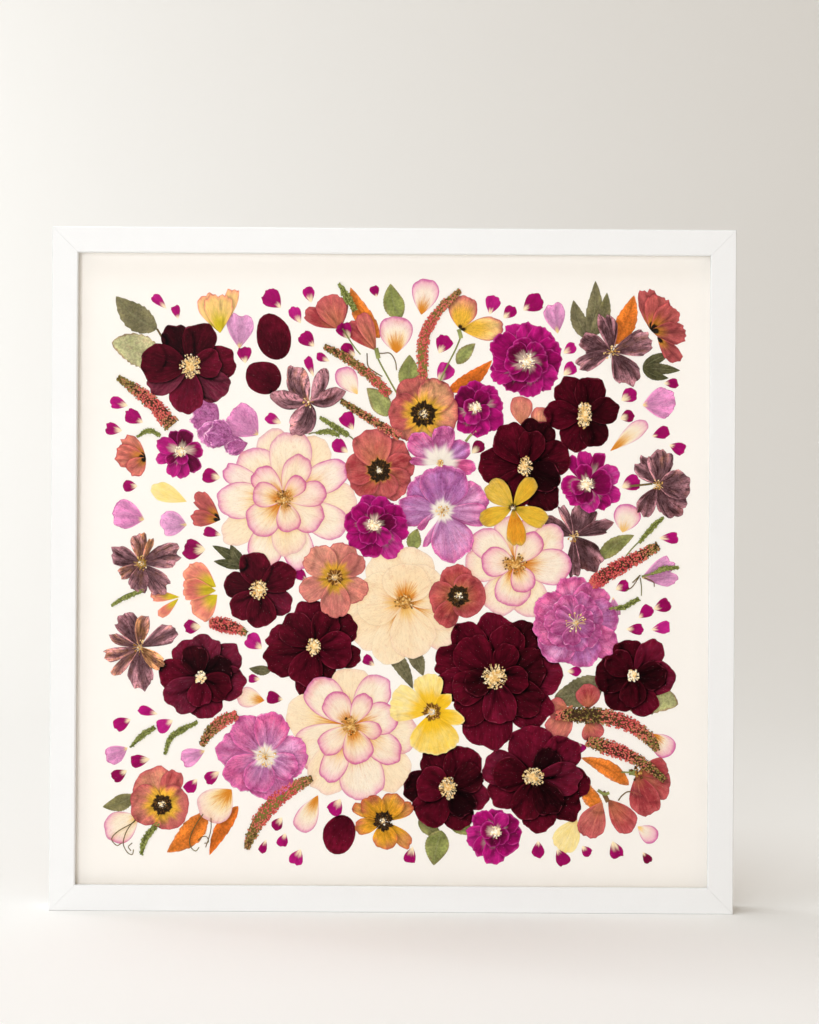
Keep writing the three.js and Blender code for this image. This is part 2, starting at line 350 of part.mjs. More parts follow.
function distance([x, z], outline) {
  let least = Infinity;
  outline.forEach(([ax, az], i) => {
    const [bx, bz] = outline[(i + 1) % outline.length];
    const dx = bx - ax;
    const dz = bz - az;
    const t = Math.min(1, Math.max(0, ((x - ax) * dx + (z - az) * dz) / (dx * dx + dz * dz)));
    least = Math.min(least, Math.hypot(x - ax - t * dx, z - az - t * dz));
  });
  return least;
}

// How far two specimens lap over each other in plan: below zero when clear
function lap(a, b) {
  let most = -Infinity;
  for (const [p] of a) {
    for (const [q] of b) {
      for (const [one, two] of [[p, q], [q, p]]) {
        for (const point of one) {
          const d = distance(point, two);
          most = Math.max(most, inside(point, two) ? d : -d);
        }
      }
    }
  }
  return most;
}

const order = ORDER.concat([...specimens.keys()].filter((name) => !ORDER.includes(name)));
const placed = [];
for (const name of order) {
  const specimen = specimens.get(name);
  const taken = new Set();
  let shelf = 0;
  for (const other of placed) {
    const overlap = lap(specimen.tiers, other.tiers);
    if (overlap > -CLEAR) taken.add(other.shelf);
    if (overlap > LAPPED) shelf = Math.max(shelf, other.shelf + 1);
  }
  while (taken.has(shelf)) shelf += 1;
  specimen.shelf = shelf;
  placed.push(specimen);
}

const TIER_BOTTOM = [0, PETAL_T, PETAL_T + PETAL_T2];
const TIER_TOP = [PETAL_T, PETAL_T + PETAL_T2, PETAL_T + PETAL_T2 + EYE_T];

function slab(outline, low, high) {
  const shape = new THREE.Shape(outline.map(([x, z]) => new THREE.Vector2(x, z)));
  const g = new THREE.ExtrudeGeometry(shape, { depth: high - low, bevelEnabled: false });
  g.rotateX(Math.PI / 2);
  g.translate(0, Y_BOARD - low, HALF);
  return toSolid(g);
}

for (const [name, { kind, tiers, shelf }] of specimens) {
  const base = UNDER + SHELF * shelf;
  const solids = tiers.map(([outline, tier]) => slab(outline, base + (tier === 1 ? 0 : TIER_BOTTOM[tier]), base + TIER_TOP[tier]));
  add(name, toGeometry(solids.reduce((whole, next) => whole.add(next))), kind);
}

export default group;
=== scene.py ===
import math
import random
import bmesh
import bpy
import numpy as np
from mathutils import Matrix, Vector


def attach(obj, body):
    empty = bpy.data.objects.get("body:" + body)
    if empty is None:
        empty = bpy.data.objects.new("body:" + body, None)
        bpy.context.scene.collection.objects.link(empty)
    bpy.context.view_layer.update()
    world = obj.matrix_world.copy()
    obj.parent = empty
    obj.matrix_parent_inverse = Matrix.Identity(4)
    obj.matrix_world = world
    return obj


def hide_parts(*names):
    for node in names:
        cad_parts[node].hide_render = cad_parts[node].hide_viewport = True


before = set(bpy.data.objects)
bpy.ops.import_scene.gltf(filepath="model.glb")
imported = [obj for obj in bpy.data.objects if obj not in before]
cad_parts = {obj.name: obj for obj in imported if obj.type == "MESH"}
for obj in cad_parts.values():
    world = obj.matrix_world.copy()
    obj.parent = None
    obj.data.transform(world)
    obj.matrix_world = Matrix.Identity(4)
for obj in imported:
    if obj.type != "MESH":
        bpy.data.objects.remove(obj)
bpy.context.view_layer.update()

# ---------------------------------------------------------------- sizes, mm
MM = .001              # one millimetre, in the scene's metres
MID = 264.0            # height of the picture's middle above the base
Y_BOARD = -7.2         # front face of the mount board
LIFT = .07             # one pressed layer
PETAL_STEP = 1.18      # mesh spacing along a petal
LEAF_STEP = .9         # and across a leaf
CELL = .5              # cell of the height map
SPAN = 250.0           # half the side of the height map

# ------------------------------------------------------------------- tables
# Specimens, from the board up. A flower has its name, the x and z of its middle, the x and z radius of
# its eye, and its petals in layers. A petal is the x and z of its tip, its width and its tone, and the x
# and z of its base where that isn't the middle. A spike has points with widths, and the tones along it.
# All are in mm from the middle of the picture.
SPECIMENS = [
    ("larkspur_grey_05", 140, 27, 3, 3, [
        [(117, 38, 15, .4), (152, 51, 21, .35), (157, 2, 24, .3)],
        [(130, 51, 7, .6), (169, 37, 12, .4), (140, -5, 11, .5)]]),
    ("rose_cream_03", 9, -25, 6.5, 5, [
        [(18, 17, 36, .05), (-14, 11, 30, .02), (-37, -30, 36, 0), (-30, -56, 34, .03), (-6, -73, 28, 0),
         (47, -58, 25, .2), (48, -38, 25, .05)],
        [(37, -4, 36, .03), (-28, -20, 42, 0)],
        [(13, 5, 38, .02), (20, -67, 36, .04)]]),
    ("rose_cream_01", -85, 54, 5.5, 6.5, [
        [(-95, 108, 29, .25), (-55, 101, 29, .05), (-116, 91, 31, .5), (-132, 78, 17, .9),
         (-131, 23, 25, .1), (-104, 2, 28, .6), (-69, 0, 25, .65), (-29, 54, 32, .15)],
        [(-136, 53, 29, .55), (-77, 107, 33, .4), (-79, 11, 27, .2), (-37, 30, 27, .5), (-37, 80, 25, .8)],
        [(-70, 88, 22, .55), (-107, 77, 21, .85), (-110, 30, 28, .6), (-56, 35, 27, .6),
         (-52, 61, 20, .95)],
        [(-109, 60, 20, .6), (-79, 29, 19, .6), (-70, 71, 15, 1)]]),
    ("rose_cream_02", 95, 5, 8, 6.5, [
        [(88, 42, 25, .4), (113, 39, 25, .5), (131, 31, 25, .45), (112, -35, 29, .3), (78, -33, 29, .3),
         (56, 4, 27, .35)],
        [(138, 2, 29, .6), (63, 28, 25, .55)],
        [(92, -28, 28, .6)],
        [(105, -16, 20, .85), (69, 8, 24, .9), (113, 28, 20, .75)]]),
    ("spike_coral_02", [(206, 20, 7), (192, 12, 10), (175, 3, 12), (161, -6, 12), (154, -11, 7)],
     [.2, .55, .9, .95, .95, .8]),
    ("rose_magenta_05", 150, 67, 5.5, 5.5, [
        [(136, 89, 10, .5), (148, 93, 13, .7), (162, 92, 11, .1), (175, 78, 17, .8), (176, 57, 14, .7),
         (166, 49, 15, .5), (154, 46, 16, .7), (136, 53, 16, .6), (130, 66, 16, .6)],
        [(147, 83, 13, .2), (170, 70, 20, .3), (147, 52, 15, .2), (138, 63, 12, .4)]]),
    ("flower_coral_02", -11, 77, 8.5, 8.5, [
        [(6, 100, 29, .75), (16, 81, 24, .8), (10, 60, 26, .7), (-8, 54, 27, .75), (-31, 62, 24, .8),
         (-37, 81, 27, .9)],
        [(-20, 109, 30, .6)]]),
    ("rose_magenta_02", 63, 126, 5, 5, [
        [(64, 147, 18, .5), (79, 141, 17, .6), (85, 129, 18, .5), (84, 112, 18, .7), (68, 104, 18, .8),
         (53, 107, 16, .5), (46, 121, 18, .4), (50, 140, 18, .3)],
        [(72, 139, 13, .3), (74, 120, 13, .4), (60, 113, 13, .6), (54, 129, 12, .3)]]),
    ("flower_coral_01", 23, 121, 9, 9, [
        [(11, 149, 29, .8), (43, 103, 24, .3), (20, 97, 26, .2), (0, 107, 25, .6)],
        [(50, 121, 34, .35), (-4, 124, 29, .9)],
        [(39, 146, 29, .3)]]),
    ("spike_coral_01", [(-214, 148, 4), (-198, 137, 10), (-183, 124, 12), (-172, 111, 13)],
     [.2, .3, .7, .8, .75, .3]),
    ("rose_burgundy_05", -61, -60, 4.5, 6, [
        [(-65, -24, 29, .35), (-29, -40, 25, .35), (-97, -51, 22, .7), (-98, -74, 29, .55),
         (-25, -69, 20, .4), (-50, -86, 22, .45), (-69, -97, 18, .55)],
        [(-84, -38, 27, .45), (-47, -33, 22, .2)],
        [(-31, -64, 30, .5), (-71, -90, 27, .55)]]),
    ("rose_burgundy_04", -104, -16, 6, 6.5, [
        [(-131, -11, 21, .3), (-79, -31, 20, .6), (-122, -37, 23, .4)],
        [(-109, 13, 25, .6), (-77, 0, 24, .5)],
        [(-101, -45, 24, .45)]]),
    ("rose_cream_04", -32, -121, 6, 6, [
        [(-32, -76, 33, .05), (-6, -84, 27, .55), (-82, -111, 35, .02), (-75, -146, 33, .45),
         (-56, -173, 33, .1), (9, -168, 35, .05), (20, -130, 31, .3)],
        [(-63, -87, 29, .6), (-19, -179, 35, .5), (6, -146, 24, .65)],
        [(-50, -164, 21, .8), (4, -112, 26, .65), (-55, -141, 19, .7)],
        [(-49, -97, 23, .75), (-19, -97, 16, .7), (-8, -126, 14, .6), (-23, -150, 24, .7)]]),
    ("flower_mauve_01", 36, 83, 2, 2, [
        [(14, 104, 20, .8), (58, 98, 17, .3), (64, 79, 12, .9, 37, 83), (13, 85, 7, .5)],
        [(40, 112, 18, .4)]]),
    ("flower_mauve_02", 38, 46, 3.6, 3.8, [
        [(16, 71, 32, .45), (72, 58, 32, .5), (74, 42, 18, .5), (3, 46, 25, .35), (24, 18, 6, .6, 38, 42),
         (20, 31, 6, .6, 30, 44)],
        [(41, 82, 38, .4), (51, 8, 33, .55)]]),
    ("rose_magenta_04", -15, 35, 6, 4.5, [
        [(-21, 58, 18, .7), (-5, 56, 18, .5), (8, 45, 20, .3), (12, 30, 20, .6), (4, 11, 20, .9),
         (-18, 9, 18, .4), (-34, 19, 18, .6), (-38, 38, 18, .4), (-30, 50, 16, .5)],
        [(-12, 50, 14, .3), (2, 38, 14, .2), (-5, 20, 15, .7), (-22, 20, 14, .3), (-28, 35, 14, .4)]]),
    ("rose_burgundy_02", 148, 121, 5, 9, [
        [(130, 148, 25, .45), (137, 94, 26, .4)],
        [(155, 150, 25, .3), (117, 121, 23, .25), (161, 98, 23, .15)],
        [(174, 127, 22, .35)]]),
    ("rose_burgundy_03", 102, 81, 5, 6.5, [
        [(116, 117, 29, .3), (137, 90, 28, .35), (122, 47, 27, .3), (66, 82, 29, .35)],
        [(84, 112, 29, .55), (88, 50, 29, .3)],
        [(110, 108, 22, .25), (128, 68, 25, .1)]]),
    ("pansy_yellow_01", 93, 49, 4, 4, [
        [(74, 68, 19, .2), (109, 71, 14, .4), (68, 38, 15, .4), (119, 38, 16, .4)],
        [(97, 19, 15, .9)]]),
    ("flower_coral_03", -45, -6, 5, 6, [
        [(-36, 20, 25, .65), (-21, -21, 21, .6), (-71, -20, 20, .45)],
        [(-64, 15, 27, .5), (-23, 9, 18, .6), (-44, -37, 24, .5)]]),
    ("poppy_red_01", 51, -20, 8, 8, [
        [(48, 4, 26, .95), (28, -24, 27, 1), (37, -43, 19, .9)],
        [(72, -20, 38, .98)]]),
    ("rose_burgundy_07", 79, -82, 8.5, 8.5, [
        [(80, -34, 36, .5), (50, -43, 28, .55), (110, -43, 34, .35), (131, -80, 38, .75),
         (120, -118, 34, .7), (72, -138, 40, .65), (33, -66, 26, .6), (34, -92, 27, .5),
         (53, -118, 27, .55)],
        [(52, -55, 31, .6), (94, -43, 27, .5), (119, -73, 32, .35), (114, -108, 29, .5),
         (47, -96, 27, .65)],
        [(93, -58, 20, .25), (106, -86, 21, .25), (86, -119, 27, .6), (57, -91, 22, .15)]]),
    ("flower_mauve_03", 142, -40, 6, 6, [
        [(139, -4, 27, .85), (161, -12, 29, .6), (175, -36, 32, .4), (173, -63, 25, .8),
         (149, -74, 32, .35), (119, -68, 30, .6), (109, -44, 32, .6), (112, -24, 28, .95)],
        [(152, -18, 20, .5), (163, -34, 20, .3), (160, -55, 20, .4), (142, -63, 20, .4),
         (123, -56, 20, .45), (117, -38, 19, .5), (130, -20, 20, .6)],
        [(147, -26, 10, .6), (156, -34, 11, .5), (127, -30, 13, .5), (123, -46, 13, .45),
         (137, -58, 15, .5), (156, -48, 16, .35)]]),
    ("rose_burgundy_08", 187, -81, 4.2, 4.2, [
        [(181, -53, 24, .4), (207, -55, 21, .6), (219, -84, 27, .75), (199, -112, 23, .4),
         (171, -107, 27, .35)],
        [(157, -80, 29, .35)],
        [(168, -65, 22, .2), (212, -81, 23, .05), (187, -105, 21, .2)]]),
    ("rose_burgundy_10", 44, -169, 6, 7.5, [
        [(30, -139, 27, .5), (62, -139, 31, .6), (9, -168, 26, .2), (75, -178, 23, .55),
         (55, -201, 25, .5)],
        [(23, -196, 29, .55), (70, -156, 23, .35)],
        [(20, -163, 29, .5), (61, -189, 22, .1)]]),
    ("viola_yellow_01", 31, -110, 6, 6, [
        [(-1, -101, 28, .1), (27, -81, 23, .1), (46, -96, 11, .3), (57, -117, 12, .3)],
        [(34, -143, 38, .25)]]),
    ("rose_burgundy_09", 110, -160, 7.5, 6, [
        [(107, -120, 37, .55), (143, -133, 29, .5), (153, -168, 29, .6), (144, -190, 26, .45),
         (117, -203, 27, .5), (77, -178, 27, .65), (71, -150, 28, .75)],
        [(79, -157, 27, .45), (128, -141, 22, .15), (147, -162, 27, .6), (103, -193, 26, .55)],
        [(128, -188, 24, .1)]]),
    ("rose_magenta_06", 81, -203, 4.5, 4.5, [
        [(80, -185, 16, .5), (65, -189, 17, .7), (58, -209, 18, .8), (66, -220, 16, .7), (79, -228, 18, .7),
         (95, -219, 18, .6), (101, -205, 17, .5), (97, -192, 16, .4)],
        [(88, -188, 12, .6), (90, -210, 14, .3), (76, -214, 13, .3), (69, -200, 14, .4)]]),
    ("spike_coral_05", [(-112, -217, 4), (-108, -205, 9), (-100, -191, 12), (-90, -180, 12),
        (-78, -171, 10), (-68, -165, 8), (-62, -162, 4)],
     [.25, .3, .8, .85, .8, .4, .02]),
    ("flower_mauve_04", -98, -145, 5.5, 6, [
        [(-65, -146, 33, .7), (-135, -138, 30, .6), (-119, -116, 28, .5), (-93, -178, 38, .6)],
        [(-91, -111, 27, .95), (-74, -158, 22, .45), (-127, -166, 29, .8), (-106, -172, 26, .5)]]),
    ("flower_orange_01", -6, -195, 7, 7, [
        [(-30, -183, 10, .5), (16, -182, 12, .5), (15, -214, 12, .4), (-4, -217, 19, .55)],
        [(-20, -177, 19, .75), (5, -174, 18, .4), (-28, -201, 13, .65)]]),
    ("larkspur_grey_01", -66, 130, 3, 3, [
        [(-80, 158, 17, .4), (-53, 157, 10, .5, -64.5, 130.5), (-38, 138, 12, .4), (-96, 135, 12, .5),
         (-75, 103, 19, .3)]]),
    ("rose_burgundy_06", -149, -84, 4, 4, [
        [(-164, -57, 25, .7), (-119, -63, 25, .8), (-114, -91, 27, .7), (-142, -116, 27, .8),
         (-181, -82, 27, .4)],
        [(-144, -51, 25, .75), (-172, -108, 29, .85), (-125, -74, 21, 0)],
        [(-156, -60, 21, .15), (-126, -96, 23, .6), (-150, -107, 19, .5)]]),
    ("larkspur_grey_02", 169, 170, 4, 4, [
        [(164, 199, 15, .4), (200, 180, 19, .6), (145, 179, 17, .5), (143, 159, 14, .5)],
        [(186, 146, 21, .5)]]),
    ("rose_burgundy_01", -158, 157, 7, 8.5, [
        [(-174, 188, 24, .05), (-123, 162, 27, .35), (-131, 134, 26, .8), (-163, 121, 27, .6)],
        [(-190, 139, 21, .85), (-147, 190, 27, .4)],
        [(-196, 161, 31, .3), (-134, 161, 23, .7)]]),
    ("rose_magenta_01", 103, 162, 6, 6, [
        [(91, 191, 19, .6), (105, 192, 19, .8), (119, 188, 21, .5), (129, 175, 20, .7), (130, 160, 22, .4),
         (124, 144, 22, .6), (106, 135, 23, .7), (88, 141, 21, .3), (75, 151, 20, .8), (76, 165, 20, .6),
         (77, 180, 22, .5)],
        [(99, 181, 17, .3), (115, 175, 17, .4), (120, 159, 16, .3), (110, 147, 17, .5), (93, 148, 16, .2),
         (86, 159, 16, .35), (90, 174, 17, .2)]]),
    ("rose_magenta_03", -165, 91, 5, 4, [
        [(-172, 107, 9, .2), (-160, 108, 13, .1), (-148, 93, 13, .2), (-151, 76, 12, .2),
         (-163, 70, 11, .8), (-173, 72, 11, .9), (-184, 84, 10, .8), (-183, 98, 14, .7)],
        [(-163, 81, 10, .5), (-177, 82, 8, .1)]]),
    ("flower_coral_04", -178, -183, 7.5, 7.5, [
        [(-189, -156, 36, .5), (-189, -197, 18, .5), (-167, -157, 17, .9), (-158, -191, 36, .8)],
        [(-203, -184, 32, .6)]]),
    ("larkspur_grey_03", -195, 4, 4, 4, [
        [(-218, 12, 16, .3), (-198, 27, 13, .8), (-187, 23, 6, .8), (-166, 13, 20, .4), (-176, -18, 17, .6),
         (-212, -6, 10, .7)],
        [(-198, -18, 16, .4)]]),
    ("larkspur_grey_04", 205, 67, 3, 3, [
        [(190, 86, 16, .4), (208, 94, 20, .5), (222, 44, 23, .5), (192, 44, 15, .3, 204.5, 65.5)],
        [(230, 68, 24, .6)]]),
    ("larkspur_grey_06", -196, -61, 4, 4, [
        [(-210, -35, 17, .4), (-168, -47, 15, .5), (-195, -93, 20, .3), (-216, -82, 9, .7),
         (-224, -69, 10, .5), (-219, -53, 8, .6)],
        [(-193, -37, 12, .7), (-179, -76, 13, .9)]]),
    ("bellflower_red_01", 190, -157, 5, 5, [
        [(215, -171, 27, 1), (214, -150, 15, 1)],
        [(200, -189, 24, .95)]]),
    ("spike_coral_03", [(127, -112, 6), (145, -112, 12), (165, -113, 13), (184, -119, 12), (199, -129, 10),
        (206, -139, 4)],
     [.75, .05, .15, .9, .75, .3, .15]),
    ("spike_coral_04", [(151, -132, 7), (165, -136, 12), (182, -142, 11), (198, -151, 8), (212, -162, 4)],
     [.5, .3, .85, .8, .3, .2, .15]),
]
# Spikes with no solid of their own: points with widths, tones along it
LOOSE_SPIKES = [
    ([(-54, 173, 4), (-40, 166, 7), (-20, 152, 8), (-3, 136, 8)], [.2, .3, .35, .7, .8]),
    ([(-41, 131, 4), (-20, 118, 6.5), (5, 103, 7)], [.2, .3, .5, .6]),
    ([(51, 217, 4), (40, 207, 7), (30, 195, 8), (24, 182, 9), (22, 170, 9), (23, 148, 8)],
     [.3, .45, .8, .85, .8, .7]),
    ([(-142, -42, 7), (-133, -43, 12), (-122, -46, 10), (-113, -50, 4)], [.8, .9, .85, .2]),
    ([(-148, -137, 5), (-140, -125, 9), (-130, -117, 10), (-120, -113, 7)], [.25, .35, .8, .85]),
]
# Green spikelets: points with widths
SPIKELETS = [
    [(-199, 102, 2), (-190, 107, 4.5), (-181, 103, 2.5)], [(-43, 222, 2), (-37, 212, 6.5), (-30, 201, 4)],
    [(-57, 118, 2), (-46, 111, 5), (-35, 104, 4)], [(-60, 106, 2), (-51, 107, 5), (-42, 104, 3)],
    [(210, 42, 1.5), (203, 36, 4.5), (195, 27, 4), (191, 22, 1.5)],
    [(-218, -29, 1.5), (-207, -22, 4.5), (-193, -17, 3)],
    [(-203, -139, 1.5), (-193, -129, 5), (-184, -123, 3)],
    [(-176, -144, 2), (-172, -132, 4.5), (-163, -125, 5), (-151, -119, 2.5)],
    [(-194, -222, 2.5), (-191, -210, 5), (-181, -197, 4.5)],
    [(168, -29, 1.5), (179, -28, 4.5), (191, -21, 3.5)], [(201, -2, 1.5), (210, 2, 4.5), (222, 3, 2.5)],
]
# Leaves: base, tip, width, sideways bow and tone
GREEN_LEAVES = [
    ((-184, 186), (-216, 211), 22, 3, .22), ((-183, 160), (-219, 175), 26, -3, .8),
    ((5, 195), (-3, 222), 17, 2, .5), ((9, 140), (12, 167), 17, -1, .48),
    ((49, 160), (63, 176), 11, 1, .55), ((-5, 119), (-21, 141), 16, -2, .6),
    ((16, 15), (19, 32), 12, 1, .5), ((160, 9), (187, 28), 13, 2, .42), ((151, 180), (139, 210), 13, 2, .2),
    ((151, 182), (156, 225), 13, -2, .22), ((153, 182), (165, 216), 12, -3, .25),
    ((193, 158), (214, 169), 9, 1, .05), ((193, 158), (222, 156), 9, 0, .08),
    ((193, 158), (213, 150), 8, -2, .05), ((-115, 2), (-140, 18), 9, -1, .05),
    ((-115, 2), (-126, 19), 9, 1, .07), ((-115, 2), (-139, 6), 8, 0, .05),
    ((-5, -60), (16, -92), 12, 2, .15), ((13, -60), (24, -82), 12, 1, .18),
    ((-94, -78), (-111, -77), 8, 1, .1), ((-200, -176), (-224, -185), 13, 2, .3),
    ((181, -104), (222, -103), 26, 5, .72), ((162, -84), (126, -98), 24, 4, .16),
    ((21, -194), (40, -206), 11, -1, .4), ((39, -202), (33, -229), 19, -1, .48),
    ((44, -196), (65, -205), 12, 1, .45),
]
ORANGE_LEAVES = [
    ((-11, 180), (-34, 219), 15, 3, .5), ((42, 139), (76, 163), 13, -3, .35),
    ((171, 176), (186, 214), 17, -2, .45), ((-144, -189), (-174, -220), 19, 3, .5),
    ((-119, -184), (-141, -222), 12, -2, .35), ((184, -166), (147, -145), 13, -3, .5),
    ((164, -185), (148, -160), 13, 3, .55),
]
# Loose magenta petals: x and z of the middle, direction of the pale base, length, width, tone
SMALL_PETALS = [
    (-182, 207, 315, 15, 7.5, .7), (-169, 199, 285, 11, 7, .6), (-213, 128, 345, 14, 10, .7),
    (-201, 117, 330, 15, 12, .5), (-217, 108, 350, 13, 10, .5), (-116, 166, 275, 13, 11, .4),
    (-94, 209, 315, 17, 15, .5), (-66, 213, 285, 12.5, 9.5, .6), (-76, 197, 300, 14, 10, .8),
    (-67, 178, 315, 14, 12, .4), (-55, 164, 335, 11, 7, .5), (-65, 157, 290, 16, 7, .6),
    (-38, 185, 300, 14, 12, .4), (-35, 170, 320, 13, 10, .3), (-15, 216, 290, 9, 7.5, .4),
    (-93, 116, 335, 13, 9, .6), (-35, 115, 300, 15, 12, .5), (-41, 95, 325, 14, 11, .6),
    (-71, -5, 320, 12, 9, .4), (76, 206, 255, 15, 12, .7), (89, 200, 225, 12, 10, .4),
    (107, 207, 215, 17, 15, .4), (38, 175, 245, 15, 13, .5), (39, 153, 235, 16, 14, .8),
    (65, 95, 225, 12, 10, .1), (136, 172, 215, 11, 9, .7), (136, 156, 225, 12, 10.5, .6),
    (215, 146, 180, 11, 8, .3), (182, 136, 215, 13, 12, .5), (181, 120, 200, 11, 10, .2),
    (207, 107, 200, 14, 10, .4), (220, 96, 160, 13, 10, .5), (184, 68, 205, 15, 13, .6),
    (214, 26, 180, 15, 9, .6), (178, -12, 205, 11, 9.5, .4), (-204, 64, 0, 11, 9.5, .4),
    (-141, 72, 350, 14, 12, .4), (-140, 28, 345, 14, 8, .4), (-154, 15, 0, 17, 16, .2),
    (-155, -45, 0, 13, 11, .3), (-189, -111, 345, 15, 8, .6), (-209, -120, 25, 14, 11, .5),
    (-176, -121, 30, 14, 11, .8), (-107, -57, 320, 15, 13, .7), (-107, -85, 355, 9, 7, .5),
    (-91, -100, 350, 13, 10, .2), (-18, -71, 320, 11, 8, .3), (209, -27, 200, 14, 11, .3),
    (196, -32, 220, 13, 10, .5), (188, -45, 180, 13.5, 9, .4), (208, -44, 190, 15, 10, .8),
    (141, -78, 180, 10.5, 8, .5), (-195, -149, 10, 15, 10.5, .3), (-211, -160, 30, 13, 10, .2),
    (-155, -168, 50, 12.5, 10, .5), (-139, -161, 35, 13, 10, .5), (-88, -197, 55, 11, 9, .3),
    (-84, -210, 70, 11, 9, .5), (-99, -215, 70, 11, 6.5, .4), (-73, -223, 65, 13, 11, .6),
    (-43, -184, 60, 14, 12, .6), (15, -221, 75, 13, 9.5, .4), (114, -216, 90, 13, 10, .4),
    (132, -222, 120, 14, 11, .4), (151, -217, 130, 9.5, 8, .4), (174, -216, 110, 14, 11, .4),
    (198, -222, 125, 10, 7, .05), (146, -137, 130, 9, 8, .4),
]
# Loose petals and the petals of flowers pressed from the side: kind, then base, tip, width and tone
SIDE_PETALS = [
    ("burgundy", [((-88, 163), (-99, 197), 27, .5), ((-90, 140), (-112, 158), 26, .6),
        ((-35, -191), (-46, -220), 25, .6)]),
    ("cream", [((21, 198), (26, 226), 21, .8), ((2, 168), (1, 197), 26, .6),
        ((-28, 136), (-42, 156), 17, .7), ((168, 93), (196, 116), 13, .5), ((178, 30), (184, 52), 21, .7),
        ((-99, -102), (-120, -98), 16, .3), ((-124, -171), (-146, -193), 28, .25),
        ((-196, -192), (-221, -207), 25, .5), ((-57, -175), (-71, -203), 18, .5),
        ((202, -126), (217, -142), 18, .7), ((191, -198), (206, -208), 14, .75)]),
    ("yellow", [((144, -192), (131, -217), 21, .05), ((-160, 52), (-187, 63), 15, .08)]),
    ("mauve", [((-120, 171), (-119, 198), 21, .3), ((127, 184), (123, 207), 17, .45),
        ((-193, 38), (-217, 44), 23, .65), ((-160, 34), (-180, 36), 20, .3),
        ((193, 129), (218, 132), 24, .5), ((-205, -139), (-221, -148), 15, .5),
        ((-145, -141), (-163, -149), 14, .45)]),
    ("tulip", [((-135, 183), (-148, 212), 17, .3), ((-135, 183), (-124, 217), 11, .25),
        ((-135, 183), (-137, 213), 22, .25)]),
    ("coral", [((-42, 187), (-69, 200), 14, .9), ((-42, 186), (-41, 211), 11, .8),
        ((-43, 186), (-52, 213), 23, .85), ((-14, 170), (-36, 192), 14, .85),
        ((-14, 170), (-26, 199), 13, .8)]),
    ("sun", [((51, 187), (55, 213), 23, .35), ((51, 187), (84, 188), 19, .2)]),
    ("poppy", [((199, 187), (196, 219), 16, .95), ((199, 187), (207, 214), 20, .9),
        ((199, 187), (219, 203), 20, .92), ((199, 187), (226, 184), 18, .9),
        ((204, 182), (221, 163), 13, .88), ((-192, 86), (-210, 100), 15, .62),
        ((-192, 86), (-216, 88), 18, .58), ((-192, 86), (-205, 74), 15, .62),
        ((-134, 38), (-153, 58), 13, .85), ((-134, 38), (-157, 40), 13, .9)]),
    ("tulip", [((-137, -14), (-160, 0), 20, .75), ((-136, -20), (-154, -36), 20, .75),
        ((-137, -17), (-163, -15), 17, .85), ((-165, -22), (-188, -21), 9, .7),
        ((-166, -23), (-181, -37), 8, .75)]),
    ("mauve", [((193, -5), (217, 8), 13, .35), ((193, -5), (220, -6), 12, .3)]),
    ("coral", [((99, 113), (99, 135), 18, .42), ((113, 106), (115, 127), 16, .55),
        ((140, -104), (124, -130), 20, .8), ((136, -106), (121, -108), 18, .8),
        ((152, -107), (152, -88), 19, .85), ((151, -118), (160, -131), 18, .75),
        ((163, -179), (151, -206), 22, .9), ((168, -177), (187, -201), 20, .95)]),
    ("crumple", [((-136, 113), (-156, 124), 26, .5), ((-134, 114), (-147, 97), 22, .55),
        ((-137, 106), (-141, 94), 18, .6), ((-114, 97), (-132, 97), 15, .45)]),
    ("mauve", [((-105, 104), (-126, 122), 27, .6), ((171, -20), (173, -36), 9, .4)]),
    ("crumple", [((-124, 100), (-144, 109), 21, .45), ((-113, 98), (-129, 92), 13, .6)]),
]
# Stems, tendrils and calyxes: width, tone, points
STEMS = [
    (1.6, .2, [(-184, 186), (-181, 181), (-178, 176)]),
    (1, .3, [(-40, 187), (-35, 179), (-31, 173), (-26, 167)]),
    (1.3, .35, [(-14, 170), (-12, 163), (-5, 150), (3, 136)]),
    (.9, .2, [(-21, 168), (-20, 158), (-14, 153), (-9, 150)]),
    (.9, .2, [(-14, 168), (-9, 168), (-3, 168), (1, 162), (2, 155)]),
    (1.2, .3, [(52, 182), (48, 172), (41, 158), (35, 145)]),
    (3.2, .45, [(50, 187), (51, 184), (52, 180)]),
    (3.4, .4, [(-14, 172), (-13, 168), (-12, 164)]),
    (1, .3, [(192, 24), (186, 18), (181, 12)]),
    (1, .3, [(-35, 104), (-32, 102), (-30, 99)]),
    (1, .2, [(192, -3), (189, -6), (186, -9)]),
    (.8, .2, [(192, -3), (186, -12), (181, -15)]),
    (.8, .2, [(192, -5), (193, -12), (193, -19)]),
    (.8, .2, [(195, -5), (202, -8), (203, -12)]),
    (1.4, .35, [(193, -4), (204, -1), (212, 3)]),
    (3.6, .12, [(164, -171), (166, -175), (168, -179)]),
    (2.4, .4, [(160, -170), (165, -173), (169, -172)]),
    (1, .12, [(176, -178), (179, -174), (184, -171), (191, -173)]),
    (4.5, .35, [(184, -156), (187, -156), (190, -157)]),
    (1.2, .3, [(178, -156), (182, -156), (186, -156)]),
    (1.6, .15, [(201, 68), (193, 67), (184, 66)]),
    (1, .3, [(-60, 106), (-63, 106), (-66, 105)]),
    (.7, .18, [(-198, -194), (-200, -197), (-212, -204), (-217, -210), (-213, -215), (-209, -213)]),
    (.7, .18, [(-198, -194), (-205, -203), (-208, -213), (-205, -220), (-201, -222), (-200, -218)]),
    (.7, .18, [(-146, -190), (-152, -199), (-156, -208), (-156, -215), (-152, -219), (-149, -216)]),
    (.7, .18, [(-140, -193), (-140, -202), (-142, -210), (-144, -216)]),
    (.7, .18, [(-150, -211), (-147, -208), (-143, -208), (-142, -212), (-145, -213)]),
    (.7, .18, [(-201, -213), (-204, -216), (-202, -219)]),
    (2, .45, [(56, 100), (60, 105), (67, 110)]),
]

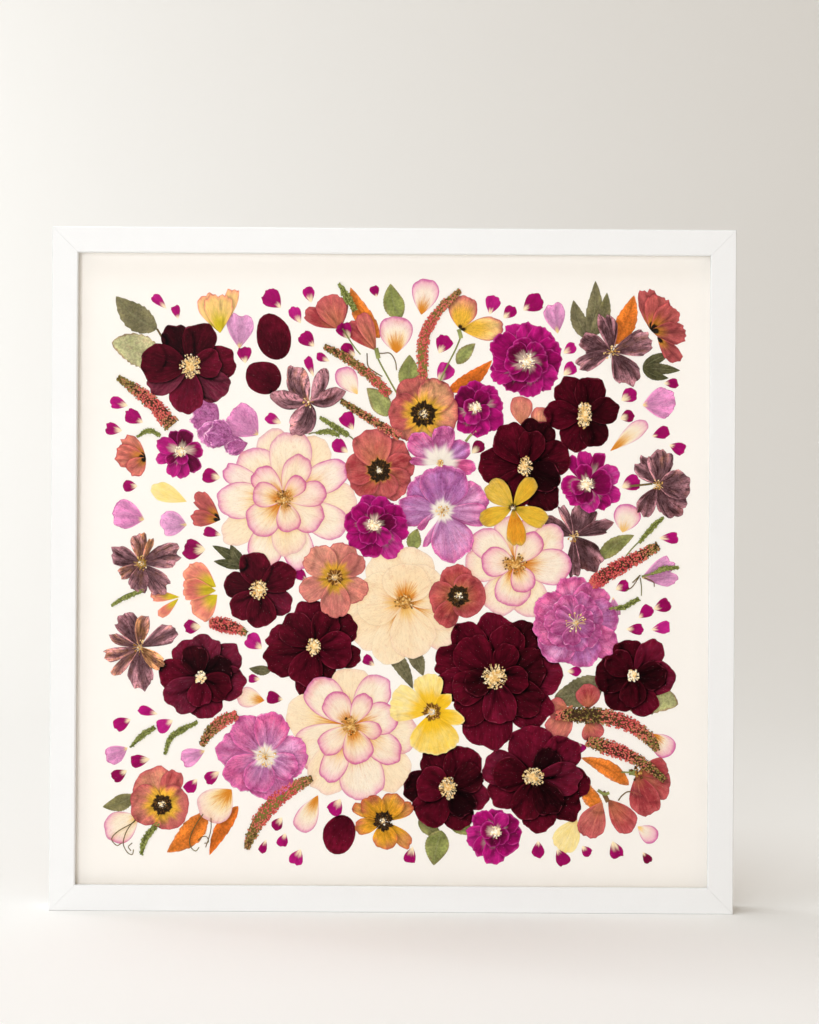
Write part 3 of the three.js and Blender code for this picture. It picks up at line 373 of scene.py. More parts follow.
# ------------------------------------------------------------------ outlines
# How a petal is cut: wobble of its edge, teeth, ruffle in mm, waves across, and how square its rim is
CUTS = {
    "burgundy": (.034, .004, .14, 2.0, 2.4), "cream": (.02, .003, .12, 1.6, 2.4),
    "magenta": (.03, .02, .18, 3.0, 2.4), "mauve": (.03, .012, .3, 3.2, 2.4),
    "coral": (.03, .01, .2, 2.8, 2.4), "yellow": (.03, .008, .14, 2.4, 2.4),
    "grey": (.07, .014, .4, 3.0, 2.7), "hooked": (.05, .02, .4, 3.0, 1.5),
    "sun": (.03, .008, .18, 2.2, 2.4), "tulip": (.04, .015, .2, 2.6, 3.2),
    "poppy": (.04, .03, .24, 4.0, 2.4), "crumple": (.06, .03, .5, 3.0, 2.4),
    "bit": (.04, .02, .15, 2.0, 3.2), "loose": (.05, .01, .3, 2.4, 3.2),
    "fan": (.02, .01, .16, 2.4, 5), "point": (.04, .02, .16, 2.4, 1.2),
}
RIM_WAVES, RIM_TEETH = (1.5, 2.6, 3.9, 5.3), (9, 14, 21)   # how many cross a petal's rim
FOLDS = 3              # folds that make up a petal's ruffle
TURN = 6.28            # a full turn, for random phases
# Fewest and most points across and along a petal, and across a strip; a thin strip has a few
PETAL_ACROSS, PETAL_ALONG, STRIP_ACROSS = (12, 42), (9, 31), (7, 17)
THIN, THIN_ACROSS = 3, 5
LEAF_POINTS = 30       # along a leaf
BROAD_LEAF = 24        # leaves at least this wide are rounder


def spread_for(length, width, power):
    """Half the angle that a petal fans out over, for it to be as wide as asked."""
    low, high = .05, 2.2
    a = np.linspace(.02, 1, 50)
    for _ in range(24):
        mid = (low + high) / 2
        half = (length * np.sqrt(1 - a ** power) * np.sin(a * mid)).max()
        low, high = (mid, high) if half < width / 2 else (low, mid)
    return (low + high) / 2


class Petal:
    """Rays from the base to a rounded rim."""

    def __init__(self, base, tip, width, cut, rng, bend=0.0, oval=False):
        wobble, teeth, self.ruffle_mm, waves, self.power = CUTS[cut]
        self.base, self.width, self.bend, self.oval = base, width, bend, oval
        dx, dz = tip[0] - base[0], tip[1] - base[1]
        self.length, self.heading = math.hypot(dx, dz), math.atan2(dz, dx)
        self.spread = math.pi / 2 if oval else spread_for(self.length, width, self.power)
        r = rng.uniform
        self.bumps = [(n, wobble * r(.5, 1.1) / (1 + .25 * n), r(0, TURN)) for n in RIM_WAVES]
        self.bumps += [(n, teeth * r(.4, 1), r(0, TURN)) for n in RIM_TEETH]
        self.folds = [(waves * r(.6, 1.5), r(-1.5, 1.5), r(0, TURN), r(.4, 1))
                      for _ in range(FOLDS)]
        self.id = r(0, 1)

    def rim(self, a):
        """Distance from the base to the rim, for a from -1 to 1 across the petal."""
        bump = 1 + sum(size * np.sin(n * a * 3 + phase) for n, size, phase in self.bumps)
        if self.oval:
            c, q = np.cos(np.clip(a, -1, 1) * self.spread), (self.length / self.width) ** 2
            return self.length * c / (c * c + q * (1 - c * c)) * bump
        return self.length * np.sqrt(np.clip(1 - np.abs(a) ** self.power, 0, 1)) * bump

    def grid(self, step):
        """x, z, place across, place along, and mm to the rim, as a grid of points."""
        across = int(np.clip(self.width * 1.9 / step, *PETAL_ACROSS))
        along = int(np.clip(self.length / step, *PETAL_ALONG))
        a = np.sin(np.linspace(-math.pi / 2, math.pi / 2, across))[:, None]
        v = np.linspace(.015, 1, along)[None, :]
        r = self.rim(a) * v
        angle = self.heading + a * self.spread + self.bend * (v ** 2 - 1)
        x, z = self.base[0] + r * np.cos(angle), self.base[1] + r * np.sin(angle)
        return x, z, a + 0 * v, v + 0 * a, self.rim(a) * (1 - v)

    def ruffle(self, a, v):
        h = sum(m * (.5 + .5 * np.sin(f * 3 * a + g * v + phase)) for f, g, phase, m in self.folds)
        return self.ruffle_mm * h / FOLDS * v ** 1.3

    def cover(self, x, z):
        """Above 0 where the petal covers the point."""
        dx, dz = x - self.base[0], z - self.base[1]
        r = np.hypot(dx, dz)
        turn = np.arctan2(dz, dx) - self.heading - self.bend * ((r / self.length) ** 2 - 1)
        turn = (turn + math.pi) % (2 * math.pi) - math.pi
        return self.rim(np.clip(turn / self.spread, -1.2, 1.2)) - r

    def box(self):
        m = self.length * 1.1
        return self.base[0] - m, self.base[0] + m, self.base[1] - m, self.base[1] + m


def smooth_line(points, n):
    """n points along a smooth curve through the given rows."""
    p = np.array(points, float)
    if len(p) < 3:
        t = np.linspace(0, 1, n)[:, None]
        return p[0] + (p[-1] - p[0]) * t
    p = np.vstack([2 * p[0] - p[1], p, 2 * p[-1] - p[-2]])
    out = []
    for t in np.linspace(0, len(p) - 3 - 1e-6, n):
        i, f = int(t), t - int(t)
        a, b, c, d = p[i:i + 4]
        out.append(.5 * (2 * b + (c - a) * f + (2 * a - 5 * b + 4 * c - d) * f * f
                         + (3 * b - a - 3 * c + d) * f ** 3))
    return np.array(out)


class Strip:
    """A centre line with a half width: leaves, stems and spikes."""

    def __init__(self, line, half, rng, teeth=0.0, dome=0.0, ruffle_mm=0.0):
        self.line, self.half, self.width = line, half, half.max() * 2
        self.teeth, self.dome, self.ruffle_mm = teeth, dome, ruffle_mm
        t = np.gradient(line, axis=0)
        t /= np.maximum(np.linalg.norm(t, axis=1, keepdims=True), 1e-9)
        self.normal = np.stack([-t[:, 1], t[:, 0]], 1)
        self.length = np.linalg.norm(np.diff(line, axis=0), axis=1).sum()
        self.id, self.phase = rng.uniform(0, 1), rng.uniform(0, 6)

    def grid(self, step):
        across = THIN_ACROSS if self.width < THIN else int(np.clip(self.width / step, *STRIP_ACROSS))
        t = np.linspace(1, -1, across)[None, :]
        s = np.linspace(0, 1, len(self.line))[:, None]
        saw = 1 - self.teeth * ((s * self.length / 1.9 + .5 * (t < 0)) % 1)
        half = self.half[:, None] * np.where(np.abs(t) > .99, saw, 1)
        x = self.line[:, :1] + self.normal[:, :1] * t * half
        z = self.line[:, 1:] + self.normal[:, 1:] * t * half
        return x, z, t + 0 * s, s + 0 * t, self.half[:, None] * (1 - np.abs(t))

    def ruffle(self, t, s):
        slim = np.minimum(1, self.half[:, None] / self.half.max())
        wave = .5 + .5 * np.sin(s * 9 + t * 1.5 + self.phase)
        return self.dome * np.sqrt(np.clip(1 - t * t, 0, 1)) * slim + self.ruffle_mm * wave * np.abs(t)

    def cover(self, x, z):
        best = np.full(x.shape, -9.0)
        for (px, pz), half in zip(self.line, self.half):
            best = np.maximum(best, half - np.hypot(x - px, z - pz))
        return best

    def box(self):
        low, high = self.line.min(0) - self.half.max(), self.line.max(0) + self.half.max()
        return low[0], high[0], low[1], high[1]


def leaf_shape(base, tip, width, bow, rng):
    base, tip = np.array(base, float), np.array(tip, float)
    run = tip - base
    side = np.array([-run[1], run[0]]) / np.hypot(*run)
    s = np.linspace(0, 1, LEAF_POINTS)
    line = base + run * s[:, None] + side * (bow * np.sin(np.pi * s))[:, None]
    fullness = .62 if width >= BROAD_LEAF else .85
    half = width / 2 * np.clip(np.sin(np.pi * s ** .8), 0, 1) ** fullness + .12
    return Strip(line, half, rng, teeth=.12, ruffle_mm=.22)


def ribbon(points, width, rng, dome=.5, step=1.2):
    rows = [(p[0], p[1], p[2] if len(p) > 2 else width) for p in points]
    run = sum(math.dist(a[:2], b[:2]) for a, b in zip(rows, rows[1:]))
    line = smooth_line(rows, max(8, int(run / step)))
    return Strip(line[:, :2].copy(), np.maximum(line[:, 2] / 2, .15), rng, dome=dome)


# ---------------------------------------------------------------- the layers
# A map of what lies on the board, so that each piece drapes over the ones below it: its height in mm
# above the board, and how many pieces lie there.
CELLS = int(2 * SPAN / CELL)
HEIGHT, COUNT = np.zeros((CELLS, CELLS)), np.zeros((CELLS, CELLS))


def blur(m, times=1):
    for _ in range(times):
        for ax in (0, 1):
            p = np.concatenate([m.take([0], ax), m, m.take([-1], ax)], ax)
            n = m.shape[ax]
            m = (p.take(range(n), ax) + 2 * p.take(range(1, n + 1), ax) + p.take(range(2, n + 2), ax)) / 4
    return m


def grow(m):
    out = m.copy()
    for shift in ((1, 0), (-1, 0), (0, 1), (0, -1)):
        out = np.maximum(out, np.roll(m, shift, (0, 1)))
    return out


def look_up(m, x, z, x0=-SPAN, z0=-SPAN):
    """The map's value at x and z, where x0 and z0 are the corner of the map."""
    i = np.clip((x - x0) / CELL - .5, 0, m.shape[0] - 1.001)
    j = np.clip((z - z0) / CELL - .5, 0, m.shape[1] - 1.001)
    a, b = i.astype(int), j.astype(int)
    f, g = i - a, j - b
    near = m[a, b] * (1 - f) * (1 - g) + m[a + 1, b] * f * (1 - g)
    return near + m[a, b + 1] * (1 - f) * g + m[a + 1, b + 1] * f * g


def cell_range(low, high):
    return max(int((low + SPAN) / CELL) - 3, 0), min(int((high + SPAN) / CELL) + 4, CELLS)


def columns(*values):
    return np.stack([np.ravel(v) for v in np.broadcast_arrays(*values)], 1)


BLOB_SIDES = 7
BLOB_POINTS = 2 * BLOB_SIDES + 1


def blob_shape():
    """A small dome of two rings and a top, and its faces."""
    around = np.arange(BLOB_SIDES) * 2 * np.pi / BLOB_SIDES
    unit = [[r * np.cos(a), h, r * np.sin(a)] for r, h in ((1.0, 0.0), (.78, .62)) for a in around]
    n, top = BLOB_SIDES, 2 * BLOB_SIDES
    wall = [[i, (i + 1) % n, (i + 1) % n + n, i + n] for i in range(n)]
    cap = [[(i + 1) % n + n, top, top, i + n] for i in range(n)]
    return np.array(unit + [[0, 1, 0]]), np.array(wall + cap)


# Shade on a point that lies lower than the surface beside it, towards the light: a close, sharp shade
# and a wide, soft one, each with its offset in x and z and the depth in mm that shades fully
CLOSE_SHADE, WIDE_SHADE = (-.5, .35, .3), (-1, .7, .45)


def depth_below(surface, points, shade):
    """How far points lie below a surface, as a share of the depth that shades fully."""
    dx, dz, full = shade
    return np.maximum(look_up(surface, points[:, 0] + dx, points[:, 2] + dz) - points[:, 1], 0) / full


class Heap:
    """Gathers sheets and blobs into one mesh. Each point carries marks for the materials:
    petal (place across, place along, a random number for the whole petal), look (tone, size, mm to
    the rim), lay (shade, layers below, how near one of their edges) and core (dark, gold, white).
    """

    def __init__(self, name, node=None, slot=None):
        self.name, self.node, self.slot = name, node, slot
        self.points, self.faces, self.face_materials, self.materials = [], [], [], []
        self.marks = {"petal": [], "look": [], "lay": [], "core": []}
        self.n = 0

    def add(self, points, faces, material, **marks):
        if material not in self.materials:
            self.materials.append(material)
        self.points.append(points)
        self.faces.append(faces + self.n)
        self.face_materials.append(np.full(len(faces), self.materials.index(material)))
        for key, rows in marks.items():
            self.marks[key].append(rows)
        self.n += len(points)

    def sheet(self, shape, material, tone, core=None, step=PETAL_STEP, lift=LIFT, cover=True):
        """Lays a shape over what is on the board already, and marks it on the maps."""
        x, z, u, v, edge = shape.grid(step)
        x0, x1, z0, z1 = shape.box()
        (i0, i1), (j0, j1) = cell_range(x0, x1), cell_range(z0, z1)
        corner = i0 * CELL - SPAN, j0 * CELL - SPAN
        height, count = HEIGHT[i0:i1, j0:j1], COUNT[i0:i1, j0:j1]
        soft = np.maximum(blur(grow(height), 2), height)
        layers = blur(count)
        ridge = np.hypot(*np.gradient(layers)) / CELL
        high = look_up(soft, x, z, *corner) + lift + shape.ruffle(u, v)
        under, line = look_up(layers, x, z, *corner), look_up(ridge, x, z, *corner)
        if cover:
            gx, gz = ((np.arange(*r) + .5) * CELL - SPAN for r in ((i0, i1), (j0, j1)))
            on = shape.cover(*np.meshgrid(gx, gz, indexing="ij")) > 0
            height[on] = soft[on] + lift + shape.ruffle_mm * .6 + getattr(shape, "dome", 0)
            count[on] += 1
        idx = np.arange(x.size).reshape(x.shape)
        faces = np.stack([idx[:-1, :-1], idx[:-1, 1:], idx[1:, 1:], idx[1:, :-1]], -1).reshape(-1, 4)
        tone = tone(v) if callable(tone) else tone
        self.add(columns(x, high, z), faces, material,
                 petal=columns(u, v, shape.id), look=columns(tone, shape.length / 30, edge),
                 lay=columns(0, under, line),
                 core=core(x.ravel(), z.ravel(), v.ravel()) if core else np.zeros((x.size, 3)))

    def blobs(self, x, z, radius, tone, material, rng, long, angle=None, lift=.15):
        """Small domes: anthers, florets and buds."""
        n = len(x)
        angle = rng.uniform(0, TURN, n) if angle is None else angle
        floor = look_up(HEIGHT, x, z) + lift
        unit, faces = blob_shape()
        p = unit[None] * (1 + rng.uniform(-.16, .16, (n, BLOB_POINTS, 1))) * radius[:, None, None]
        along, up, across = p[..., 0] * long, p[..., 1] * 1.2, p[..., 2]
        ca, sa = np.cos(angle)[:, None], np.sin(angle)[:, None]
        points = columns(x[:, None] + along * ca - across * sa, floor[:, None] + up,
                         z[:, None] + along * sa + across * ca)
        faces = (faces[None] + (np.arange(n) * BLOB_POINTS)[:, None, None]).reshape(-1, 4)
        ids = np.repeat(rng.uniform(0, 1, n), BLOB_POINTS)
        none = np.zeros((n * BLOB_POINTS, 3))
        around, up = np.tile(unit[:, 0], n), np.tile(unit[:, 1], n)
        self.add(points, faces, material, petal=columns(around, up, ids),
                 look=columns(np.repeat(tone, BLOB_POINTS), .1, 1.0), lay=none, core=none)

    def build(self, surface, wide_surface):
        """The mesh, shaded where it lies lower than its surroundings."""
        co, faces = np.concatenate(self.points), np.concatenate(self.faces)
        marks = {key: np.concatenate(rows) for key, rows in self.marks.items()}
        shade = depth_below(surface, co, CLOSE_SHADE) + depth_below(wide_surface, co, WIDE_SHADE)
        marks["lay"][:, 0] = np.clip(shade, 0, 1)
        triangle = faces[:, 1] == faces[:, 2]
        starts = np.cumsum(np.where(triangle, 3, 4))
        keep = np.ones(faces.shape, bool)
        keep[:, 2] = ~triangle
        corners = faces[keep]
        world = columns(co[:, 0], Y_BOARD - co[:, 1], co[:, 2] + MID) * MM
        me = bpy.data.meshes.new(self.name)
        me.vertices.add(len(world))
        me.vertices.foreach_set("co", world.astype(np.float32).ravel())
        me.loops.add(len(corners))
        me.loops.foreach_set("vertex_index", corners.astype(np.int32))
        me.polygons.add(len(faces))
        me.polygons.foreach_set("loop_start", np.concatenate([[0], starts[:-1]]).astype(np.int32))
        me.polygons.foreach_set("material_index", np.concatenate(self.face_materials).astype(np.int32))
        me.update(calc_edges=True)
        me.polygons.foreach_set("use_smooth", np.ones(len(faces), bool))
        for key, rows in marks.items():
            mark = me.attributes.new(key, "FLOAT_VECTOR", "POINT")
            mark.data.foreach_set("vector", rows.astype(np.float32).ravel())
        for material in self.materials:
            me.materials.append(material)
        ob = bpy.data.objects.new(self.name, me)
        bpy.context.scene.collection.objects.link(ob)
        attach(ob, "root")
        if self.node:
            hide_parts(self.node)

# ----------------------------------------------------------------- materials
MULTIPLY = "MULTIPLY"


def lin(colour):
    """A colour of 0 to 255, as in a picture, made linear by the sRGB curve."""
    return tuple(v / 3294.6 if v <= 10.3 else ((v / 255 + .055) / 1.055) ** 2.4 for v in colour) + (1.0,)


class Look:
    """A Principled material and short names for the nodes that feed it."""

    def __init__(self, name, **constants):
        self.m = bpy.data.materials.new(name)
        self.m.use_nodes = True
        self.t = self.m.node_tree
        self.t.nodes.clear()
        self.out = self.new("ShaderNodeOutputMaterial")
        self.b = self.new("ShaderNodeBsdfPrincipled")
        self.t.links.new(self.b.outputs[0], self.out.inputs[0])
        for key, value in constants.items():
            self.b.inputs[key.replace("_", " ")].default_value = value

    def new(self, kind):
        return self.t.nodes.new(kind)

    def put(self, socket, v):
        if isinstance(v, bpy.types.NodeSocket):
            self.t.links.new(v, socket)
        else:
            socket.default_value = v

    def feed(self, node, *values):
        for socket, v in zip(node.inputs, values):
            self.put(socket, v)
        return node.outputs[0]

    def math(self, op, a, b=0.0, clamp=False):
        n = self.new("ShaderNodeMath")
        n.operation, n.use_clamp = op, clamp
        return self.feed(n, a, b)

    def add(self, a, b):
        return self.math("ADD", a, b)

    def sub(self, a, b):
        return self.math("SUBTRACT", a, b)

    def mul(self, a, b):
        return self.math(MULTIPLY, a, b)

    def swing(self, noise, amount):
        """A noise made to swing about nought."""
        return self.mul(self.sub(noise, .5), amount)

    def mix(self, fac, a, b, blend="MIX"):
        n = self.new("ShaderNodeMix")
        n.data_type, n.blend_type = "RGBA", blend
        self.put(n.inputs[0], fac)
        for socket, v in ((n.inputs[6], a), (n.inputs[7], b)):
            self.put(socket, lin(v) if isinstance(v, tuple) and len(v) == 3 else v)
        return n.outputs[2]

    def tint(self, fac, colour, tint):
        """The colour multiplied by a tint, as far as fac says."""
        return self.mix(fac, colour, self.mix(1.0, colour, tint + (1.0,), MULTIPLY))

    def shade(self, colour, factor):
        """The colour times a number."""
        n = self.new("ShaderNodeVectorMath")
        n.operation = "SCALE"
        self.put(n.inputs[0], colour)
        self.put(n.inputs[3], factor)
        return n.outputs[0]

    def ramp(self, fac, stops):
        n = self.new("ShaderNodeValToRGB")
        e = n.color_ramp.elements
        while len(e) > 1:
            e.remove(e[-1])
        e[0].position, e[0].color = stops[0][0], lin(stops[0][1])
        for place, colour in stops[1:]:
            e.new(place).color = lin(colour)
        return self.feed(n, fac)

    def noise(self, vec, scale, detail, rough):
        n = self.new("ShaderNodeTexNoise")
        self.put(n.inputs["Vector"], vec)
        for key, value in (("Scale", scale), ("Detail", detail), ("Roughness", rough)):
            n.inputs[key].default_value = value
        return n.outputs["Fac"]

    def attr(self, name):
        n, s = self.new("ShaderNodeAttribute"), self.new("ShaderNodeSeparateXYZ")
        n.attribute_name = name
        self.put(s.inputs[0], n.outputs["Vector"])
        return s.outputs

    def vec(self, x, y, z):
        return self.feed(self.new("ShaderNodeCombineXYZ"), x, y, z)

    def step(self, x, low, high):
        n = self.new("ShaderNodeMapRange")
        n.interpolation_type = "SMOOTHSTEP"
        return self.feed(n, x, low, high)

    def near_half(self, x, wide, narrow):
        """1 where x is about one half: thin lines through a noise or a wave."""
        return self.step(self.math("ABSOLUTE", self.sub(x, .5)), wide, narrow)

    def place(self, scale=(1, 1, 1)):
        n, p = self.new("ShaderNodeTexCoord"), self.new("ShaderNodeMapping")
        self.put(p.inputs[0], n.outputs["Object"])
        p.inputs["Scale"].default_value = scale
        return p.outputs[0]

    def finish(self, colour, rough, height, strength, distance):
        """Colour, roughness and relief into the shader."""
        n = self.new("ShaderNodeBump")
        n.inputs["Strength"].default_value = strength
        n.inputs["Distance"].default_value = distance
        self.put(n.inputs["Height"], height)
        self.put(self.b.inputs["Normal"], n.outputs[0])
        self.put(self.b.inputs["Base Color"], colour)
        self.put(self.b.inputs["Roughness"], rough)
        return self.m


# What a petal's look is made of:
#   texture  veins, how fine they are, streaks, mottling, crumpling (painted shade in the crumples), relief
#   edge     how dark the painted shade along the cut edge is
#   below    tint where layers lie below; strength and tint of the lines their edges print
#   shade    strength and tint of the contact shade
#   heart    colour round the base, how far out it goes, how strong
#   rim      colour of the rim, mm, how strong; the burgundy's lighter rim, and part of the magenta's, is a painted highlight
#   blush    colour of a wider band inside the rim, mm
#   cracks   strength of creases along the petal, of creases all over, their tint
#   gain     brightness;  vary: how much one petal differs from the next
#   base     how dark the painted shade at the base is, where the petals above cover it;  rays: colour of streaks out of it
LINE_TINT = (.5, .42, .42)
BLACK = (0, 0, 0)
BONE = (253, 245, 230)


def petal_look(name, tones, texture, edge, below, shade, heart=None, rim=None, blush=None, cracks=None,
               halo=(250, 205, 60), dark=(45, 38, 28), gain=1.0, vary=.12, base=0.0, rays=None, crisp=0.0,
               specks=0.0, rough=.72, spec=.1, rim_by_tone=False):
    vein, vein_scale, streak, mottle, crumple, relief = texture
    g = Look(name, Specular_IOR_Level=spec)
    u, v, petal_id = g.attr("petal")
    tone, size, to_rim = g.attr("look")
    shadow, under, ridge = g.attr("lay")
    dark_mark, halo_mark, white_mark = g.attr("core")
    place = g.place()
    us = g.mul(u, g.add(g.mul(size, .8), .35))

    def petal_noise(across, along, seed, detail, rough):
        return g.noise(g.vec(g.mul(us, across), along, g.mul(petal_id, seed)), 1, detail, rough)

    streaks = petal_noise(vein_scale * .35, g.mul(v, 1.4), 37, 3, .6)
    veins = petal_noise(vein_scale, g.mul(v, 2.6), 91, 3, .65)
    creases = petal_noise(5, g.mul(v, g.mul(size, 6)), 13, 4, .7)
    blotches, fine = g.noise(place, 160, 4, .6), g.noise(place, 900, 2, .6)

    # the petal's own colour
    t = g.add(tone, g.add(g.swing(blotches, mottle * 2), g.swing(streaks, streak * 2)))
    colour = g.ramp(g.add(t, g.swing(g.math("FRACT", g.mul(petal_id, 7.3)), vary)), tones)
    if heart:
        end = g.mul(g.add(.6, g.mul(petal_id, .8)), heart[1])
        in_heart = g.mul(g.step(g.add(v, g.swing(streaks, .5)), end, g.mul(end, .2)), heart[2])
        colour = g.mix(in_heart, colour, heart[0])
    if rays:
        ray = g.mul(g.step(g.add(v, g.swing(veins, 1.2)), .54, .2), g.step(petal_id, .15, .4))
        colour = g.mix(g.mul(ray, .95), colour, rays)
    near_rim = g.add(to_rim, g.add(g.swing(blotches, 3.0), g.swing(streaks, 2.5)))
    away = g.step(v, .12, .5)
    if rim_by_tone:
        away = g.mul(away, g.math(MULTIPLY, tone, 1.5, clamp=True))
    if blush:
        colour = g.mix(g.mul(g.step(near_rim, blush[1], .2), g.mul(away, .8)), colour, blush[0])
    if rim:
        if rim[2] < .8:
            away = g.mul(away, g.step(petal_noise(4, v, 71, 1, .5), .4, .62))
        colour = g.mix(g.mul(g.step(near_rim, rim[1], .2), g.mul(away, rim[2])), colour, rim[0])

    # rings round the flower's middle
    wobble = g.swing(veins, .7)
    colour = g.mix(g.mul(g.step(g.add(halo_mark, g.mul(wobble, .45)), 0.0, 1.0), .92), colour, halo)
    colour = g.mix(g.step(g.add(dark_mark, g.mul(wobble, .5)), .2, .8), colour, dark)

    # layers below show through, their edges print as lines, and what lies above casts its shade
    deep, line, line_tint = below
    colour = g.tint(g.math(MULTIPLY, g.math("MINIMUM", under, 3), .34, clamp=True), colour, deep)
    colour = g.tint(g.mul(g.step(ridge, .25, 1.0), line), colour, line_tint)
    if cracks:
        along, all_over, crack_tint = cracks
        lines = petal_noise(9, g.mul(v, g.add(2, g.mul(size, 2))), 53, 3, .6)
        colour = g.tint(g.mul(g.near_half(lines, .02, .004), along), colour, crack_tint)
        if all_over:
            lines = g.noise(place, 190, 3, .62)
            colour = g.tint(g.mul(g.near_half(lines, .035, .006), all_over), colour, crack_tint)
    colour = g.tint(g.mul(shadow, shade[0]), colour, shade[1])

    # how bright: veins; painted shade at the base, along the cut edge and in the crumples
    dim = g.sub(1, g.mul(g.step(veins, .42 + crisp * .1, .75 - crisp * .14), vein))
    # Painted shade: each petal darker towards its base, as under the petals above
    if base:
        dim = g.mul(dim, g.sub(1, g.mul(g.step(v, .9, .15), base)))
    # Painted shade: a thin dark line along the petal's cut edge
    dim = g.mul(dim, g.sub(1, g.mul(g.step(to_rim, .55, .05), edge)))
    # Painted shade: darker where the petal crumples, a little lighter elsewhere
    crumpled = g.mul(g.step(creases, .3, .7), crumple * gain)
    colour = g.shade(colour, g.mul(dim, g.sub((1.0 + crumple * .5) * gain, crumpled)))
    if heart and heart[2] == 1.0:
        colour = g.mix(g.mul(in_heart, .4), colour, heart[0])
    colour = g.mix(g.mul(g.step(g.add(white_mark, wobble), .1, .85), .92), colour, BONE)
    if specks:
        colour = g.mix(g.mul(g.step(g.noise(place, 520, 1, .4), .74, .8), specks), colour, (205, 170, 170))
    folds = g.add(g.mul(veins, .5), g.mul(creases, .9))
    height = g.add(folds, g.add(g.mul(blotches, .35), g.mul(fine, .12)))
    return g.finish(colour, g.add(rough - .1, g.mul(blotches, .25)), height, relief, .0006)


def leaf_look(name, tones, vein_colour, pairs=8):
    g = Look(name, Specular_IOR_Level=.12)
    across, along, _ = g.attr("petal")
    tone, _, to_rim = g.attr("look")
    shadow = g.attr("lay")[0]
    place = g.place()
    off = g.math("ABSOLUTE", across)
    blotches, fine = g.noise(place, 200, 4, .65), g.noise(place, 1100, 3, .6)
    colour = g.ramp(g.add(tone, g.swing(blotches, .32)), tones)
    slant = g.add(g.mul(off, .16), g.mul(blotches, .03))
    wave = g.math("FRACT", g.mul(g.sub(along, slant), pairs))
    side = g.mul(g.near_half(wave, .13, .02), g.step(off, 1.0, .5))
    veins = g.math("MAXIMUM", g.mul(side, .35), g.step(off, .11, .03))
    net = g.step(g.noise(place, 520, 4, .75), .38, .6)
    colour = g.mix(g.mul(veins, .3), colour, vein_colour)
    margin = g.mul(g.step(g.add(to_rim, g.swing(blotches, 7)), 2.6, .2), g.step(tone, .3, .75))
    colour = g.mix(g.mul(margin, .85), colour, (140, 108, 86))
    patches = g.mul(g.step(blotches, .5, .66), g.mul(g.step(tone, .6, .8), .4))
    colour = g.shade(g.mix(patches, colour, (176, 140, 110)), g.add(1.12, g.mul(net, .62)))
    dim = g.mul(g.sub(1.08, g.mul(fine, .22)), g.sub(1, g.mul(shadow, .5)))
    colour = g.shade(colour, g.mul(dim, g.sub(1, g.mul(g.step(to_rim, .5, 0.0), .22))))
    height = g.add(g.mul(veins, -.6), g.add(g.mul(blotches, .5), g.mul(fine, .25)))
    return g.finish(colour, g.add(.68 - .1, g.mul(blotches, .2)), height, .45, .0005)


def grain_look(name, tones, rough=.75, vary=.25):
    """Anthers, florets, buds and stems."""
    g = Look(name, Specular_IOR_Level=.12)
    _, up, grain_id = g.attr("petal")
    tone = g.attr("look")[0]
    place = g.place()
    blotches = g.noise(place, 500, 3, .6)
    t = g.add(tone, g.add(g.swing(blotches, .16), g.swing(grain_id, vary)))
    # Painted shade and light: each grain darker at its foot and lighter on top; stems, threads and spike
    # bodies grow lighter along their length
    colour = g.shade(g.ramp(t, tones), g.add(.8, g.mul(up, .5)))
    height = g.noise(place, 1500, 2, .5)
    return g.finish(colour, g.add(rough - .1, g.mul(blotches, .2)), height, .35, .0003)


def plain_look(name, base, spread, scale, rough, bump, distance, fine=900, metal=0.0, stretch=(1, 1, 1)):
    """Paint, card, fibreboard and steel, with a fine grain."""
    g = Look(name, Metallic=metal)
    place = g.place(stretch)
    big, small = g.noise(place, scale, 3, .6), g.noise(place, fine, 3, .6)
    f = g.add(1 - spread, g.add(g.mul(big, spread), g.mul(small, spread)))
    colour = g.shade(g.ramp(.5, [(0, base), (1, base)]), f)
    height = g.add(g.mul(small, .7), g.mul(big, .5))
    return g.finish(colour, g.add(rough - .06, g.mul(small, .12)), height, bump, distance)


